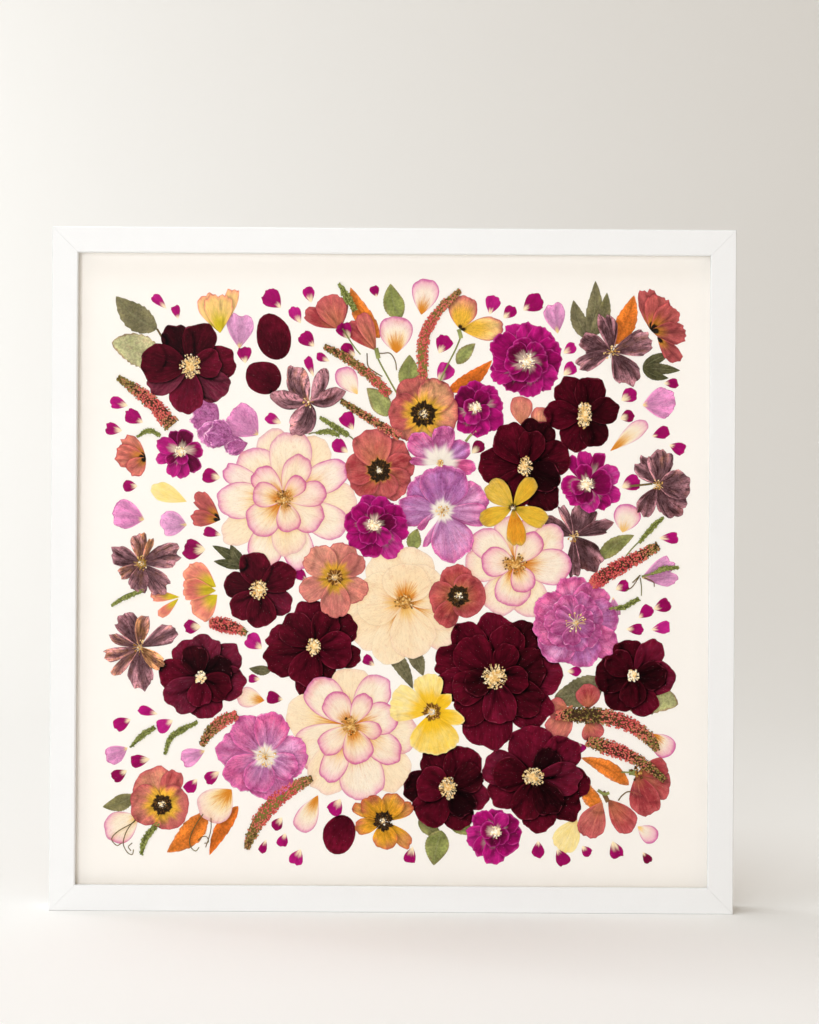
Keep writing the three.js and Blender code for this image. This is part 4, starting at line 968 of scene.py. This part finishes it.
LOOKS = {
    # The burgundy's lighter rim is a painted highlight along the petal edges
    "burgundy": petal_look(
        "pressed_burgundy", [(0, (40, 4, 12)), (.25, (70, 7, 21)), (.5, (102, 11, 35)),
                             (.7, (122, 19, 48)), (.9, (118, 32, 58)), (1, (128, 50, 70))],
        (.34, 30, .24, .26, .56, .6), .4, ((.84, .76, .78), .7, (.5, .36, .42)), (1.0, BLACK),
        rim=((150, 52, 74), 1.1, .75), cracks=(.45, 0, (1.6, 1.5, 1.5)), vary=.4, base=.25, specks=.1,
        rough=.8, spec=.04),
    "cream": petal_look(
        "pressed_cream", [(0, (253, 233, 200)), (.3, (253, 238, 212)), (.6, (253, 241, 224)),
                          (1, (253, 235, 227))],
        (.05, 26, .1, .1, .07, .3), .18, ((.985, .93, .84), .4, (.82, .55, .45)), (.7, (.9, .74, .58)),
        heart=((252, 208, 96), .6, .85), rim=((214, 100, 166), 3.3, .9), blush=((242, 166, 198), 10.5),
        cracks=(.5, 0, (.8, .62, .5)), rays=(220, 134, 30), rough=.75, spec=.12, rim_by_tone=True),
    # The magenta's pale rim is partly the petals' own paler edge, partly a painted highlight
    "magenta": petal_look(
        "pressed_magenta", [(0, (98, 3, 52)), (.3, (142, 5, 84)), (.6, (178, 14, 114)),
                            (.85, (196, 38, 134)), (1, (208, 80, 160))],
        (.24, 20, .24, .22, .36, .5), .06, ((.94, .84, .92), .4, LINE_TINT), (.65, BLACK),
        heart=((254, 232, 206), .56, 1.0), rim=((210, 120, 180), 1.4, .24), blush=((186, 36, 130), 2.0),
        gain=1.25, vary=.34, base=.12, rough=.78, spec=.08),
    "mauve": petal_look(
        "pressed_mauve", [(0, (178, 132, 188)), (.25, (192, 130, 182)), (.45, (210, 136, 176)),
                          (.7, (216, 122, 164)), (1, (226, 108, 156))],
        (.24, 20, .28, .24, .26, .7), .4, ((.9, .8, .9), .85, (.5, .32, .46)), (.8, (.3, .1, .26)),
        heart=((226, 196, 226), .85, .7), rim=((232, 180, 208), 1.0, .79), blush=((196, 90, 150), 6),
        cracks=(.7, .5, (.66, .44, .6)), gain=1.62, vary=.36, rough=.75, spec=.12),
    "coral": petal_look(
        "pressed_coral", [(0, (252, 214, 140)), (.25, (244, 188, 132)), (.5, (224, 142, 118)),
                          (.75, (206, 112, 104)), (.92, (190, 86, 86)), (1, (172, 64, 70))],
        (.26, 24, .18, .2, .3, .5), .16, ((.9, .78, .76), .45, LINE_TINT), (.6, BLACK),
        heart=((240, 158, 96), .7, .35), rim=((176, 80, 86), 1.4, .9), blush=((194, 94, 96), 5.5),
        cracks=(.5, .3, (.66, .5, .48)), halo=(250, 196, 60), dark=(58, 44, 26), gain=1.34, vary=.22,
        rough=.76),
    "yellow": petal_look(
        "pressed_yellow", [(0, (252, 236, 184)), (.16, (253, 230, 142)), (.32, (253, 216, 92)),
                           (.5, (246, 202, 68)), (.9, (246, 178, 52)), (1, (232, 144, 42))],
        (.12, 20, .12, .1, .12, .45), .12, ((.97, .9, .74), .35, LINE_TINT), (.5, (.6, .4, .2)),
        rim=((252, 230, 164), 2.4, .9), cracks=(.3, 0, (.85, .68, .4)), halo=(252, 204, 30),
        dark=(118, 80, 26), gain=1.07, rough=.75, spec=.12),
    "grey": petal_look(
        "pressed_purple_grey", [(0, (98, 60, 60)), (.3, (140, 98, 106)), (.5, (158, 112, 120)),
                                (.7, (170, 118, 108)), (.9, (192, 134, 94)), (1, (206, 148, 102))],
        (.66, 10, .4, .44, .66, .8), .3, ((.86, .8, .82), .6, LINE_TINT), (.8, BLACK),
        rim=((104, 68, 72), .9, .75), cracks=(.8, .9, (.62, .5, .5)), gain=2.6, vary=.36, crisp=1.0,
        rough=.82, spec=.08),
    "loose": petal_look(
        "pressed_lilac", [(0, (208, 162, 196)), (.35, (216, 150, 192)), (.65, (222, 138, 188)),
                          (1, (226, 114, 170))],
        (.2, 16, .2, .2, .28, .6), .14, ((.92, .82, .9), .4, LINE_TINT), (.5, BLACK),
        heart=((252, 226, 150), .2, 1.0), rim=((184, 96, 146), .9, .9), cracks=(.6, .5, (.7, .48, .66)),
        gain=1.6, rough=.75, spec=.12),
    "bit": petal_look(
        "pressed_magenta_bits", [(0, (110, 5, 50)), (.3, (142, 6, 82)), (.6, (166, 14, 106)),
                                 (.85, (182, 34, 126)), (1, (196, 76, 154))],
        (.16, 12, .1, .16, .26, .5), .14, ((.95, .9, .95), .3, LINE_TINT), (.5, BLACK),
        heart=((254, 234, 194), .5, 1.0), gain=1.3, rough=.78, spec=.08),
    "tulip": petal_look(
        "pressed_tulip", [(0, (254, 226, 132)), (.35, (252, 202, 136)), (.7, (236, 138, 118)),
                          (1, (214, 108, 100))],
        (.2, 14, .2, .16, .2, .5), .14, ((.95, .86, .7), .4, LINE_TINT), (.5, BLACK),
        heart=((248, 212, 50), .6, .9), rim=((226, 130, 112), 1.4, .9), blush=((246, 168, 134), 5),
        cracks=(.5, 0, (.8, .6, .4)), halo=(226, 204, 40), gain=1.28, vary=.2),
    "pansy_yellow_01": petal_look(
        "pressed_golden", [(0, (244, 214, 120)), (.2, (240, 202, 84)), (.4, (238, 196, 62)),
                           (.9, (240, 166, 48)), (1, (226, 140, 36))],
        (.2, 18, .2, .16, .2, .5), .16, ((.95, .86, .66), .35, LINE_TINT), (.5, (.6, .4, .2)),
        heart=((176, 160, 40), .36, .8), rim=((206, 172, 90), 1.6, .9), blush=((222, 184, 84), 5),
        cracks=(.5, 0, (.8, .62, .36)), dark=(96, 78, 30), vary=.1),
    "flower_orange_01": petal_look(
        "pressed_amber", [(0, (250, 210, 128)), (.3, (240, 178, 92)), (.55, (224, 142, 84)),
                          (.8, (204, 104, 84)), (1, (188, 84, 80))],
        (.3, 22, .2, .2, .36, .6), .2, ((.9, .76, .66), .5, LINE_TINT), (.6, BLACK),
        heart=((236, 156, 40), .7, .5), rim=((186, 84, 70), 1.3, .9), blush=((204, 108, 74), 4.5),
        cracks=(.6, .4, (.66, .46, .36)), halo=(244, 176, 40), dark=(52, 40, 26), gain=1.2, vary=.2),
    "flower_coral_03": petal_look(
        "pressed_dusky_coral", [(0, (248, 204, 150)), (.3, (236, 166, 140)), (.6, (214, 128, 118)),
                                (1, (190, 98, 100))],
        (.24, 24, .18, .18, .28, .5), .16, ((.9, .78, .76), .45, LINE_TINT), (.6, BLACK),
        heart=((234, 160, 104), .6, .4), rim=((184, 92, 98), 1.2, .9), cracks=(.5, .3, (.66, .5, .48)),
        halo=(240, 184, 50), dark=(140, 88, 40), gain=1.3, vary=.2),
    "poppy": petal_look(
        "pressed_poppy", [(0, (250, 190, 120)), (.5, (224, 134, 114)), (.75, (212, 106, 100)),
                          (.92, (184, 90, 88)), (1, (172, 80, 82))],
        (.26, 22, .2, .2, .32, .5), .16, ((.9, .74, .74), .45, LINE_TINT), (.6, BLACK),
        heart=((240, 140, 60), .55, .6), rim=((178, 70, 80), 1.2, .9), cracks=(.5, .3, (.68, .46, .46)),
        halo=(246, 170, 50), gain=1.34, vary=.2, rough=.76),
    "crumple": petal_look(
        "pressed_crumpled_lilac", [(0, (204, 156, 190)), (.5, (214, 146, 190)), (1, (226, 128, 180))],
        (.3, 14, .3, .3, .4, .8), .3, ((.9, .76, .9), .7, (.5, .32, .46)), (.8, (.3, .14, .26)),
        rim=((238, 196, 214), 1.3, .9), blush=((192, 116, 170), 5), cracks=(.9, .9, (.56, .36, .54)),
        gain=1.8),
}
LOOKS["sun"] = LOOKS["coral"]
LEAF = leaf_look("pressed_leaf", [(0, (62, 62, 32)), (.2, (114, 106, 78)), (.35, (122, 116, 72)),
                                  (.5, (134, 140, 76)), (.65, (160, 162, 100)), (.8, (186, 182, 136)),
                                  (1, (200, 194, 156))], (160, 158, 116))
ORANGE_LEAF = leaf_look("pressed_orange_leaf", [(0, (176, 84, 26)), (.35, (204, 102, 30)),
                                                (.6, (226, 128, 46)), (1, (238, 176, 100))],
                        (170, 84, 30), pairs=5)
GRAIN = grain_look("anthers", [(0, (38, 30, 22)), (.25, (100, 66, 32)), (.45, (196, 140, 66)),
                               (.65, (230, 192, 124)), (.85, (246, 226, 186)), (1, (252, 246, 230))])
FLORET = grain_look("florets", [(0, (76, 52, 36)), (.12, (106, 86, 46)), (.25, (136, 128, 62)),
                                (.38, (168, 128, 82)), (.52, (204, 122, 98)), (.72, (214, 108, 98)),
                                (.9, (206, 88, 86)), (1, (184, 66, 74))], .85, .4)
BUD = grain_look("green_buds", [(0, (86, 90, 46)), (.3, (118, 126, 62)), (.6, (142, 148, 78)),
                                (1, (166, 168, 108))], .8, .3)
STALK = grain_look("stalks", [(0, (58, 50, 32)), (.12, (112, 72, 48)), (.25, (110, 112, 62)),
                              (.4, (150, 156, 92)), (.6, (186, 188, 128))], .75, .1)


def glass_look():
    """Thin low-reflection glazing: clear, with a faint Fresnel gloss."""
    g = Look("glazing")
    kinds = "BsdfTransparent", "BsdfGlossy", "MixShader", "Fresnel"
    clear, gloss, mixer, fresnel = (g.new("ShaderNode" + kind) for kind in kinds)
    clear.inputs[0].default_value = (.995, .998, .997, 1)
    gloss.inputs["Roughness"].default_value = .13
    fresnel.inputs["IOR"].default_value = 1.03
    g.t.nodes.remove(g.b)
    g.put(g.out.inputs[0], g.feed(mixer, fresnel.outputs[0], clear.outputs[0], gloss.outputs[0]))
    return g.m


PAINT = plain_look("white_frame", (235, 236, 237), .03, 40, .5, .12, .0002)
FRAME_PARTS = {
    "rail_": PAINT,
    "mount_board": plain_look("board", (251, 246, 241), .03, 30, .92, .25, .00015, fine=1400),
    "backing_board": plain_look("fibreboard", (178, 142, 102), .22, 90, .88, .4, .0004, fine=700),
    "spacer_": plain_look("spacer", (244, 242, 236), .04, 80, .8, .1, .0002),
    "tab_": plain_look("steel", (170, 172, 175), .14, 60, .38, .15, .0001, metal=1.0, stretch=(6, 1, 1)),
    "sawtooth": plain_look("hanger_steel", (176, 176, 172), .14, 60, .35, .15, .0001, metal=1.0,
                           stretch=(1, 1, 6)),
    "glass": glass_look(),
}
for name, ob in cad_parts.items():
    for key, material in FRAME_PARTS.items():
        if name.startswith(key):
            ob.data.materials.clear()
            ob.data.materials.append(material)

# ------------------------------------------------------------ flower middles
# Rings round a flower's middle, as radii in mm: the white heart, the dark ring's inner and outer edge,
# and the end of the yellow halo
RINGS = {
    "flower_coral_01": (3.2, 4.5, 9.5, 17), "flower_coral_02": (2.2, 3, 8.5, 10),
    "flower_coral_03": (2, 2.6, 6, 13), "flower_coral_04": (2.6, 3.2, 7.5, 15),
    "poppy_red_01": (2.6, 3.4, 8, 8.5), "flower_orange_01": (2.4, 3, 7.5, 20),
    "viola_yellow_01": (2.4, 3.4, 6.6, 19), "pansy_yellow_01": (1.4, 1.6, 3.2, 0),
    "flower_mauve_01": (12, 0, 0, 0), "flower_mauve_02": (8, 0, 0, 0),
    "flower_mauve_03": (2.2, 0, 0, 0), "flower_mauve_04": (8, 0, 0, 0),
    "larkspur_grey_03": (1.6, 0, 0, 4), "larkspur_grey_04": (1.5, 0, 0, 3),
    "larkspur_grey_06": (1.5, 0, 0, 0),
}
# Flowers pressed from the side: how far up the petal the dark and the gold go
SIDE_RINGS = {"sun": (.14, .75), "poppy": (.24, .4), "tulip": (0, .55)}


def ring_core(name, cx, cz, seed):
    if name not in RINGS:
        return None
    white, inner, outer, halo = RINGS[name]
    phase = [random.Random(seed + k).uniform(0, 6) for k in range(3)]

    def core(x, z, v):
        r, t = np.hypot(x - cx, z - cz), np.arctan2(z - cz, x - cx)
        waves = ((.07, 5), (.09, 11), (.06, 23))
        r = r * (1 + sum(size * np.sin(n * t + p) for (size, n), p in zip(waves, phase)))
        inside, outside = np.clip((outer - r) / 2.2 + .5, 0, 1), np.clip((r - inner) / 1.5 + .5, 0, 1)
        dark = inside * outside if outer else 0
        gold = np.clip((halo - r) / (halo * .5) + .2, 0, 1) if halo else 0
        return columns(dark, gold, np.clip((white - r) / max(1.6, white * .8) + .5, 0, 1))
    return core


def side_core(kind):
    if kind not in SIDE_RINGS:
        return None
    dark, gold = SIDE_RINGS[kind]

    def core(x, z, v):
        darkness = np.clip((dark - v) / .12 + .5, 0, 1) if dark else 0
        return columns(darkness, np.clip((gold - v) / .5 + .4, 0, 1), 0)
    return core


# What stands in a flower's middle, from the bottom up: its form, how many, and its tone, then
#   for grains   how far out, sizes, and how far the tone spreads
#   for threads  the inner end as mm and a share of the eye, the outer end as a share, width, how far
#                the tone spreads, and whether they follow the eye's oval
# How many is a number, plus shares of the product of the eye's radii and of its larger radius.
EYES = {
    "burgundy": [("grains", (8, .6, 0), .68, .58, (.9, 1.4), .08),
                 ("threads", (14, 0, 3), .74, (0, .3), 1.12, .36, .14, True),
                 ("grains", (12, .8, 0), .78, .74, (.4, .75), .14),
                 ("grains", (4, 0, 1), .49, .3, (.4, .7), .15)],
    "cream": [("grains", (10, .6, 0), .5, .7, (.9, 1.4), .1),
              ("threads", (16, 0, 2), .44, (0, .25), 1.2, .35, .2, True),
              ("grains", (16, .7, 0), .46, .8, (.4, .75), .2),
              ("grains", (10, 0, 0), .7, .4, (.4, .8), .15)],
    "magenta": [("grains", (12, .4, 0), .9, .6, (.9, 1.4), .06),
                ("threads", (12, 0, 0), .93, (.6, 0), 1.0, .5, .08, True),
                ("grains", (12, 0, 1), .76, .6, (.4, .7), .14),
                ("grains", (4, 0, 0), .5, .25, (.3, .6), .15)],
    "mauve": [("threads", (15, 0, 0), .74, (.6, 0), 1.3, .4, .15, False),
              ("grains", (8, 0, 1), .62, .5, (.45, .9), .2)],
    "coral": [("threads", (18, 0, 1), .08, (0, .3), .95, .5, .12, False),
              ("grains", (10, 0, 1), .12, .95, (.45, .8), .1),
              ("grains", (12, 0, 0), .85, .32, (.5, .9), .1)],
    "grey": [("threads", (7, 0, 0), .55, (.5, 0), 1.5, .4, .3, False),
             ("grains", (9, 0, 0), .6, .6, (.4, .8), .3)],
    "flower_coral_03": [("threads", (12, 0, 0), .55, (.8, 0), 1.1, .45, .2, False),
                        ("grains", (14, 0, 0), .66, .4, (.5, .9), .2)],
    "viola_yellow_01": [("threads", (12, 0, 0), .42, (0, .4), 1.1, .35, .1, False),
                        ("grains", (8, 0, 0), .85, .3, (.6, 1.0), .1)],
    "pansy_yellow_01": [("grains", (9, 0, 0), .25, .7, (.45, .8), .2),
                        ("grains", (4, 0, 0), .8, .3, (.5, .8), .1)],
    "bellflower_red_01": [("grains", (26, 0, 0), .3, .85, (.7, 1.2), .15)],
}
PALE_EYES = {"rose_burgundy_06": .14, "rose_burgundy_08": .14}   # added to the tone


class Eye:
    """Stamens and anthers in a flower's middle."""

    def __init__(self, h, cx, cz, rx, rz, rng):
        self.heap, self.cx, self.cz, self.rx, self.rz, self.rng = h, cx, cz, rx, rz, rng
        self.big = max(rx, rz)

    def number(self, start, by_area, by_radius):
        return int(start + self.rx * self.rz * by_area + self.big * by_radius)

    def anthers(self, r, t, sx, sz, sizes, tone, spread, long, lift):
        rng, n = self.rng, len(r)
        x, z = self.cx + r * np.cos(t) * sx, self.cz + r * np.sin(t) * sz
        radius, tones = rng.uniform(*sizes, n), tone + rng.uniform(-spread, spread, n)
        self.heap.blobs(x, z, radius, tones, GRAIN, rng, long, lift=lift)

    def grains(self, count, tone, reach, sizes, spread):
        """Loose anthers, thickest near the middle."""
        rng, n = self.rng, self.number(*count)
        t = rng.uniform(0, 2 * math.pi, n)
        r = np.minimum(np.abs(rng.normal(0, .62, n)), 1.15) * reach
        self.anthers(r, t, self.rx, self.rz, sizes, tone, spread, 1.2, .12)

    def threads(self, count, tone, inner, outer, width, spread, oval):
        """Filaments out from the middle, and anthers at their ends."""
        rng, n = self.rng, self.number(*count)
        r0, r1 = inner[0] + self.big * inner[1], self.big * outer
        sx, sz = (self.rx / self.big, self.rz / self.big) if oval else (1, 1)
        for k in range(n):
            t = 2 * math.pi * (k + rng.uniform(-.35, .35)) / n
            a, b = r0 * rng.uniform(.6, 1), r1 * rng.uniform(.72, 1.08)
            bend = rng.uniform(-.25, .25)
            turns = [(q, t + bend * q / r1) for q in (a, (a + b) / 2, b)]
            line = [(self.cx + q * math.cos(w) * sx, self.cz + q * math.sin(w) * sz) for q, w in turns]
            thread = ribbon(line, width, rng, .22, 1.5)
            self.heap.sheet(thread, GRAIN, tone + rng.uniform(-spread, spread) * .5, lift=.1, cover=False)
        t = rng.uniform(0, 2 * math.pi, n)
        self.anthers(r1 * rng.uniform(.7, 1.05, n), t, sx, sz, (.45, .8), tone, spread, 1.3, .2)


# ----------------------------------------------------------------- specimens
KIND_WORDS = {"red": "coral", "orange": "coral"}   # the second word of a name says the kind
SLOTS = {"grey": "petal_purple_grey", "tulip": "petal_coral", "sun": "petal_coral", "poppy": "petal_coral",
         "crumple": "petal_mauve", "loose": "petal_mauve"}
SPIKE_SLOT = "spike_coral_green"
# Added to the tone of all of a flower's petals
TONE_SHIFT = {"flower_mauve_02": -.1, "flower_mauve_03": .05, "flower_mauve_04": .04,
              "flower_coral_02": .1, "larkspur_grey_02": -.1, "larkspur_grey_04": -.12,
              "larkspur_grey_05": -.08}
FAN_WIDTH = 15         # the yellow viola's wider petals are fans, the others are pointed
SPIKE_POINTS = 60      # along a spike
SPIKELET_TONES = .4, .6, .6, .4
# Where the random shapes of each group start; the next of a group has the next seed
LEAF_SEED, SIDE_SEED, SMALL_SEED, STEM_SEED = 900, 700, 500, 400
SPIKE_SEED, SPIKELET_SEED, SPECIMEN_SEED = 300, 340, 1000
heaps = []


def heap(name, node=None, slot=None):
    heaps.append(Heap(name, node, slot))
    return heaps[-1]


def slot_for(kind):
    return SLOTS.get(kind, "petal_" + kind)


def cut_for(name, kind, width):
    if name == "viola_yellow_01":
        return "fan" if width > FAN_WIDTH else "point"
    return "hooked" if name == "larkspur_grey_01" else kind


def flower(seed, name, cx, cz, rx, rz, layers):
    word = name.split("_")[1]
    kind = KIND_WORDS.get(word, word)
    rng = np.random.default_rng(seed)
    h = heap(name + "_petals", name, slot_for(kind))
    core = ring_core(name, cx, cz, seed)
    for x, z, width, tone, *base in sum(layers, []):
        cut, bend = cut_for(name, kind, width), 0
        if cut == "hooked":
            bend = math.copysign(rng.uniform(.45, .6), x - cx)
        elif kind == "grey":
            bend = rng.uniform(-.2, .2)
        petal = Petal(base or (cx, cz), (x, z), width, cut, rng, bend)
        h.sheet(petal, LOOKS.get(name, LOOKS[kind]), tone + TONE_SHIFT.get(name, 0), core)
    eye = Eye(h, cx, cz, rx, rz, rng)
    for form, count, tone, *rest in EYES[name if name in EYES else kind]:
        place = eye.grains if form == "grains" else eye.threads
        place(count, tone + PALE_EYES.get(name, 0), *rest)


def spike(h, points, tones, seed, grain=1.0, material=FLORET):
    """A stem with florets or buds scattered along it."""
    rng = np.random.default_rng(seed)
    run = sum(math.dist(a[:2], b[:2]) for a, b in zip(points, points[1:]))
    line = smooth_line(points, SPIKE_POINTS)
    last = SPIKE_POINTS - 1

    def tone_at(s):
        return np.interp(s, np.linspace(0, 1, len(tones)), tones)

    body = Strip(line[:, :2].copy(), np.maximum(line[:, 2] * .4, .3), rng, dome=.5)
    h.sheet(body, material, lambda v: tone_at(v) * .12, step=1.2)
    n = int(run * line[:, 2].mean() * .95 / grain ** 2)
    s, t = rng.uniform(0, 1, n), rng.uniform(-1, 1, n)
    t = np.sign(t) * np.abs(t) ** .8
    i = np.minimum((s * last).astype(int), last - 1)
    f = s * last - i
    mid = line[i] * (1 - f)[:, None] + line[i + 1] * f[:, None]
    x, z = (mid[:, ax] + body.normal[i, ax] * t * mid[:, 2] * .5 for ax in (0, 1))
    ahead = np.arctan2(-body.normal[i, 0], body.normal[i, 1])
    h.blobs(x, z, rng.uniform(.4, .78, n) * grain, np.clip(tone_at(s) + rng.normal(0, .14, n), 0, 1),
            material, rng, 1.3, ahead + t * .9)


def lay_leaves():
    green, orange = heap("leaves_green"), heap("leaves_orange")
    rows = [(green, LEAF, *row) for row in GREEN_LEAVES]
    rows += [(orange, ORANGE_LEAF, *row) for row in ORANGE_LEAVES]
    for k, (h, look, base, tip, width, bow, tone) in enumerate(rows):
        leaf = leaf_shape(base, tip, width, bow, np.random.default_rng(LEAF_SEED + k))
        h.sheet(leaf, look, tone, step=LEAF_STEP)


def lay_side_petals():
    by_kind, k = {}, 0
    for kind, petals in SIDE_PETALS:
        kind = "loose" if kind == "mauve" else kind
        if kind not in by_kind:
            by_kind[kind] = heap("loose_" + kind, None, slot_for(kind))
        for base, tip, width, tone in petals:
            rng = np.random.default_rng(SIDE_SEED + k)
            petal = Petal(base, tip, width, kind, rng, oval=kind == "burgundy")
            by_kind[kind].sheet(petal, LOOKS[kind], tone, side_core(kind))
            k += 1


def lay_small_petals():
    h = heap("loose_magenta", None, "petal_magenta")
    for k, (x, z, turn, length, width, tone) in enumerate(SMALL_PETALS):
        dx, dz = (f(math.radians(turn)) * length / 2 for f in (math.cos, math.sin))
        rng = np.random.default_rng(SMALL_SEED + k)
        petal = Petal((x + dx, z + dz), (x - dx, z - dz), width, "bit", rng)
        h.sheet(petal, LOOKS["bit"], tone, step=1.0)


def lay_loose_spikes():
    h = heap("loose_spikes", None, SPIKE_SLOT)
    for k, (points, tones) in enumerate(LOOSE_SPIKES):
        spike(h, points, tones, SPIKE_SEED + k)
    for k, points in enumerate(SPIKELETS):
        spike(h, points, SPIKELET_TONES, SPIKELET_SEED + k, grain=.8, material=BUD)


def lay_stems():
    h = heap("stems_and_tendrils")
    for k, (width, tone, points) in enumerate(STEMS):
        h.sheet(ribbon(points, width, np.random.default_rng(STEM_SEED + k)), STALK, tone)


def lay_specimens():
    for k, (name, *row) in enumerate(SPECIMENS):
        if name.startswith("spike_"):
            spike(heap(name + "_florets", name, SPIKE_SLOT), *row, SPECIMEN_SEED + k)
        else:
            flower(SPECIMEN_SEED + k, name, *row)


# --------------------------------------------------------------------- rails
MITRE_GAP = .00021     # between two rails in the CAD, in metres
DRAWN = .00017         # how far each cut end moves to close the mitre
WELD = 1e-5            # points closer than this are one
NEAR = 5e-5            # how exactly a point has to lie on a cut end
EASE = .0001           # width of the eased edges


def draw_mitres(bm, along):
    """Moves the cut ends of a rail that runs along x (0) or z (2) towards their neighbours."""
    for v in bm.verts:
        x, z = v.co[0], v.co[2] - MID * MM
        length, across = (x, z) if along == 0 else (z, x)
        if abs(abs(length) + MITRE_GAP - abs(across)) < NEAR:
            v.co[along] += math.copysign(DRAWN, length)


def paint_rail(name, along):
    bm = bmesh.new()
    bm.from_mesh(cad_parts[name].data)
    bmesh.ops.remove_doubles(bm, verts=bm.verts, dist=WELD)
    bmesh.ops.dissolve_limit(bm, angle_limit=math.radians(1), verts=bm.verts, edges=bm.edges)
    draw_mitres(bm, along)
    me = bpy.data.meshes.new(name + "_painted")
    bm.to_mesh(me)
    bm.free()
    ob = bpy.data.objects.new(name + "_painted", me)
    bpy.context.scene.collection.objects.link(ob)
    me.materials.append(PAINT)
    ease = ob.modifiers.new("ease", "BEVEL")
    ease.width, ease.segments = EASE, 2
    ease.limit_method, ease.angle_limit = "ANGLE", math.radians(30)
    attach(ob, "root")
    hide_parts(name)


lay_leaves()
lay_side_petals()
lay_small_petals()
lay_loose_spikes()
lay_stems()
lay_specimens()
for name, along in (("rail_bottom", 0), ("rail_top", 0), ("rail_left", 2), ("rail_right", 2)):
    paint_rail(name, along)
surface = blur(grow(HEIGHT), 2)
wide_surface = blur(surface, 14)
for h in heaps:
    h.build(surface, wide_surface)


# --------------------------------------------------------------------- stage
STUDIO_WHITE = (246, 245, 243)
# name, place, aim, size, power, tint
LAMPS = [
    ("key", (-.6, -2.68, .4), (0, 0, .24), (.75, 1.4), 37.5, (.95, .975, 1)),
    ("fill", (1.7, -2.6, .6), (0, 0, .24), (1.5, 1.8), 3.5, (1, .72, .48)),
    ("over", (-.9, -.3, 2.7), (-.1, -.3, 0), (2.6, 1.6), 47, (.9, .95, 1)),
    ("backdrop", (-2.8, 1.3, 1.3), (-1.4, 3.2, .8), (1.0, 1.4), 37, (.92, .97, 1)),
]
SKY, SKY_STRENGTH = (1, .89, .75, 1), .41
LENS, SENSOR = 68.4, 36                # mm
CAMERA = (.0127, -1.517, .309)
CAMERA_ROLL = -.32                     # degrees


def floor_sheet():
    """A floor that sweeps up into a wall, well behind the frame."""
    wall, radius, top, half = 3.2, 2, 6, 7
    turns = np.linspace(.05, math.pi / 2, 24)
    sweep = [(wall - radius + radius * math.sin(a), radius - radius * math.cos(a)) for a in turns]
    rows = [(-6, 0), (wall - radius, 0)] + sweep + [(wall, top)]
    me = bpy.data.meshes.new("floor")
    verts = [(x, y, z) for y, z in rows for x in (-half, half)]
    me.from_pydata(verts, [], [(i, i + 1, i + 3, i + 2) for i in range(0, len(verts) - 2, 2)])
    me.polygons.foreach_set("use_smooth", [True] * len(me.polygons))
    ob = bpy.data.objects.new("floor", me)
    bpy.context.scene.collection.objects.link(ob)
    me.materials.append(Look("studio_floor", Roughness=.9, Base_Color=lin(STUDIO_WHITE)).m)


def lamp(name, place, aim, size, power, tint):
    light = bpy.data.lights.new(name, "AREA")
    light.shape, light.energy, light.color = "RECTANGLE", power, tint
    light.size, light.size_y = size
    ob = bpy.data.objects.new(name, light)
    bpy.context.scene.collection.objects.link(ob)
    ob.location = place
    ob.rotation_euler = (Vector(aim) - Vector(place)).to_track_quat("-Z", "Y").to_euler()


def add_world(scene):
    world = bpy.data.worlds.new("studio")
    world.use_nodes = True
    background = world.node_tree.nodes["Background"]
    background.inputs[0].default_value = SKY
    background.inputs[1].default_value = SKY_STRENGTH
    scene.world = world
    scene.view_settings.view_transform = "Standard"


def add_camera(scene):
    cam = bpy.data.objects.new("camera", bpy.data.cameras.new("camera"))
    scene.collection.objects.link(cam)
    cam.data.lens, cam.data.sensor_width = LENS, SENSOR
    cam.location = CAMERA
    cam.rotation_euler = (math.pi / 2, math.radians(CAMERA_ROLL), 0)
    scene.camera = cam


floor_sheet()
for row in LAMPS:
    lamp(*row)
add_world(bpy.context.scene)
add_camera(bpy.context.scene)
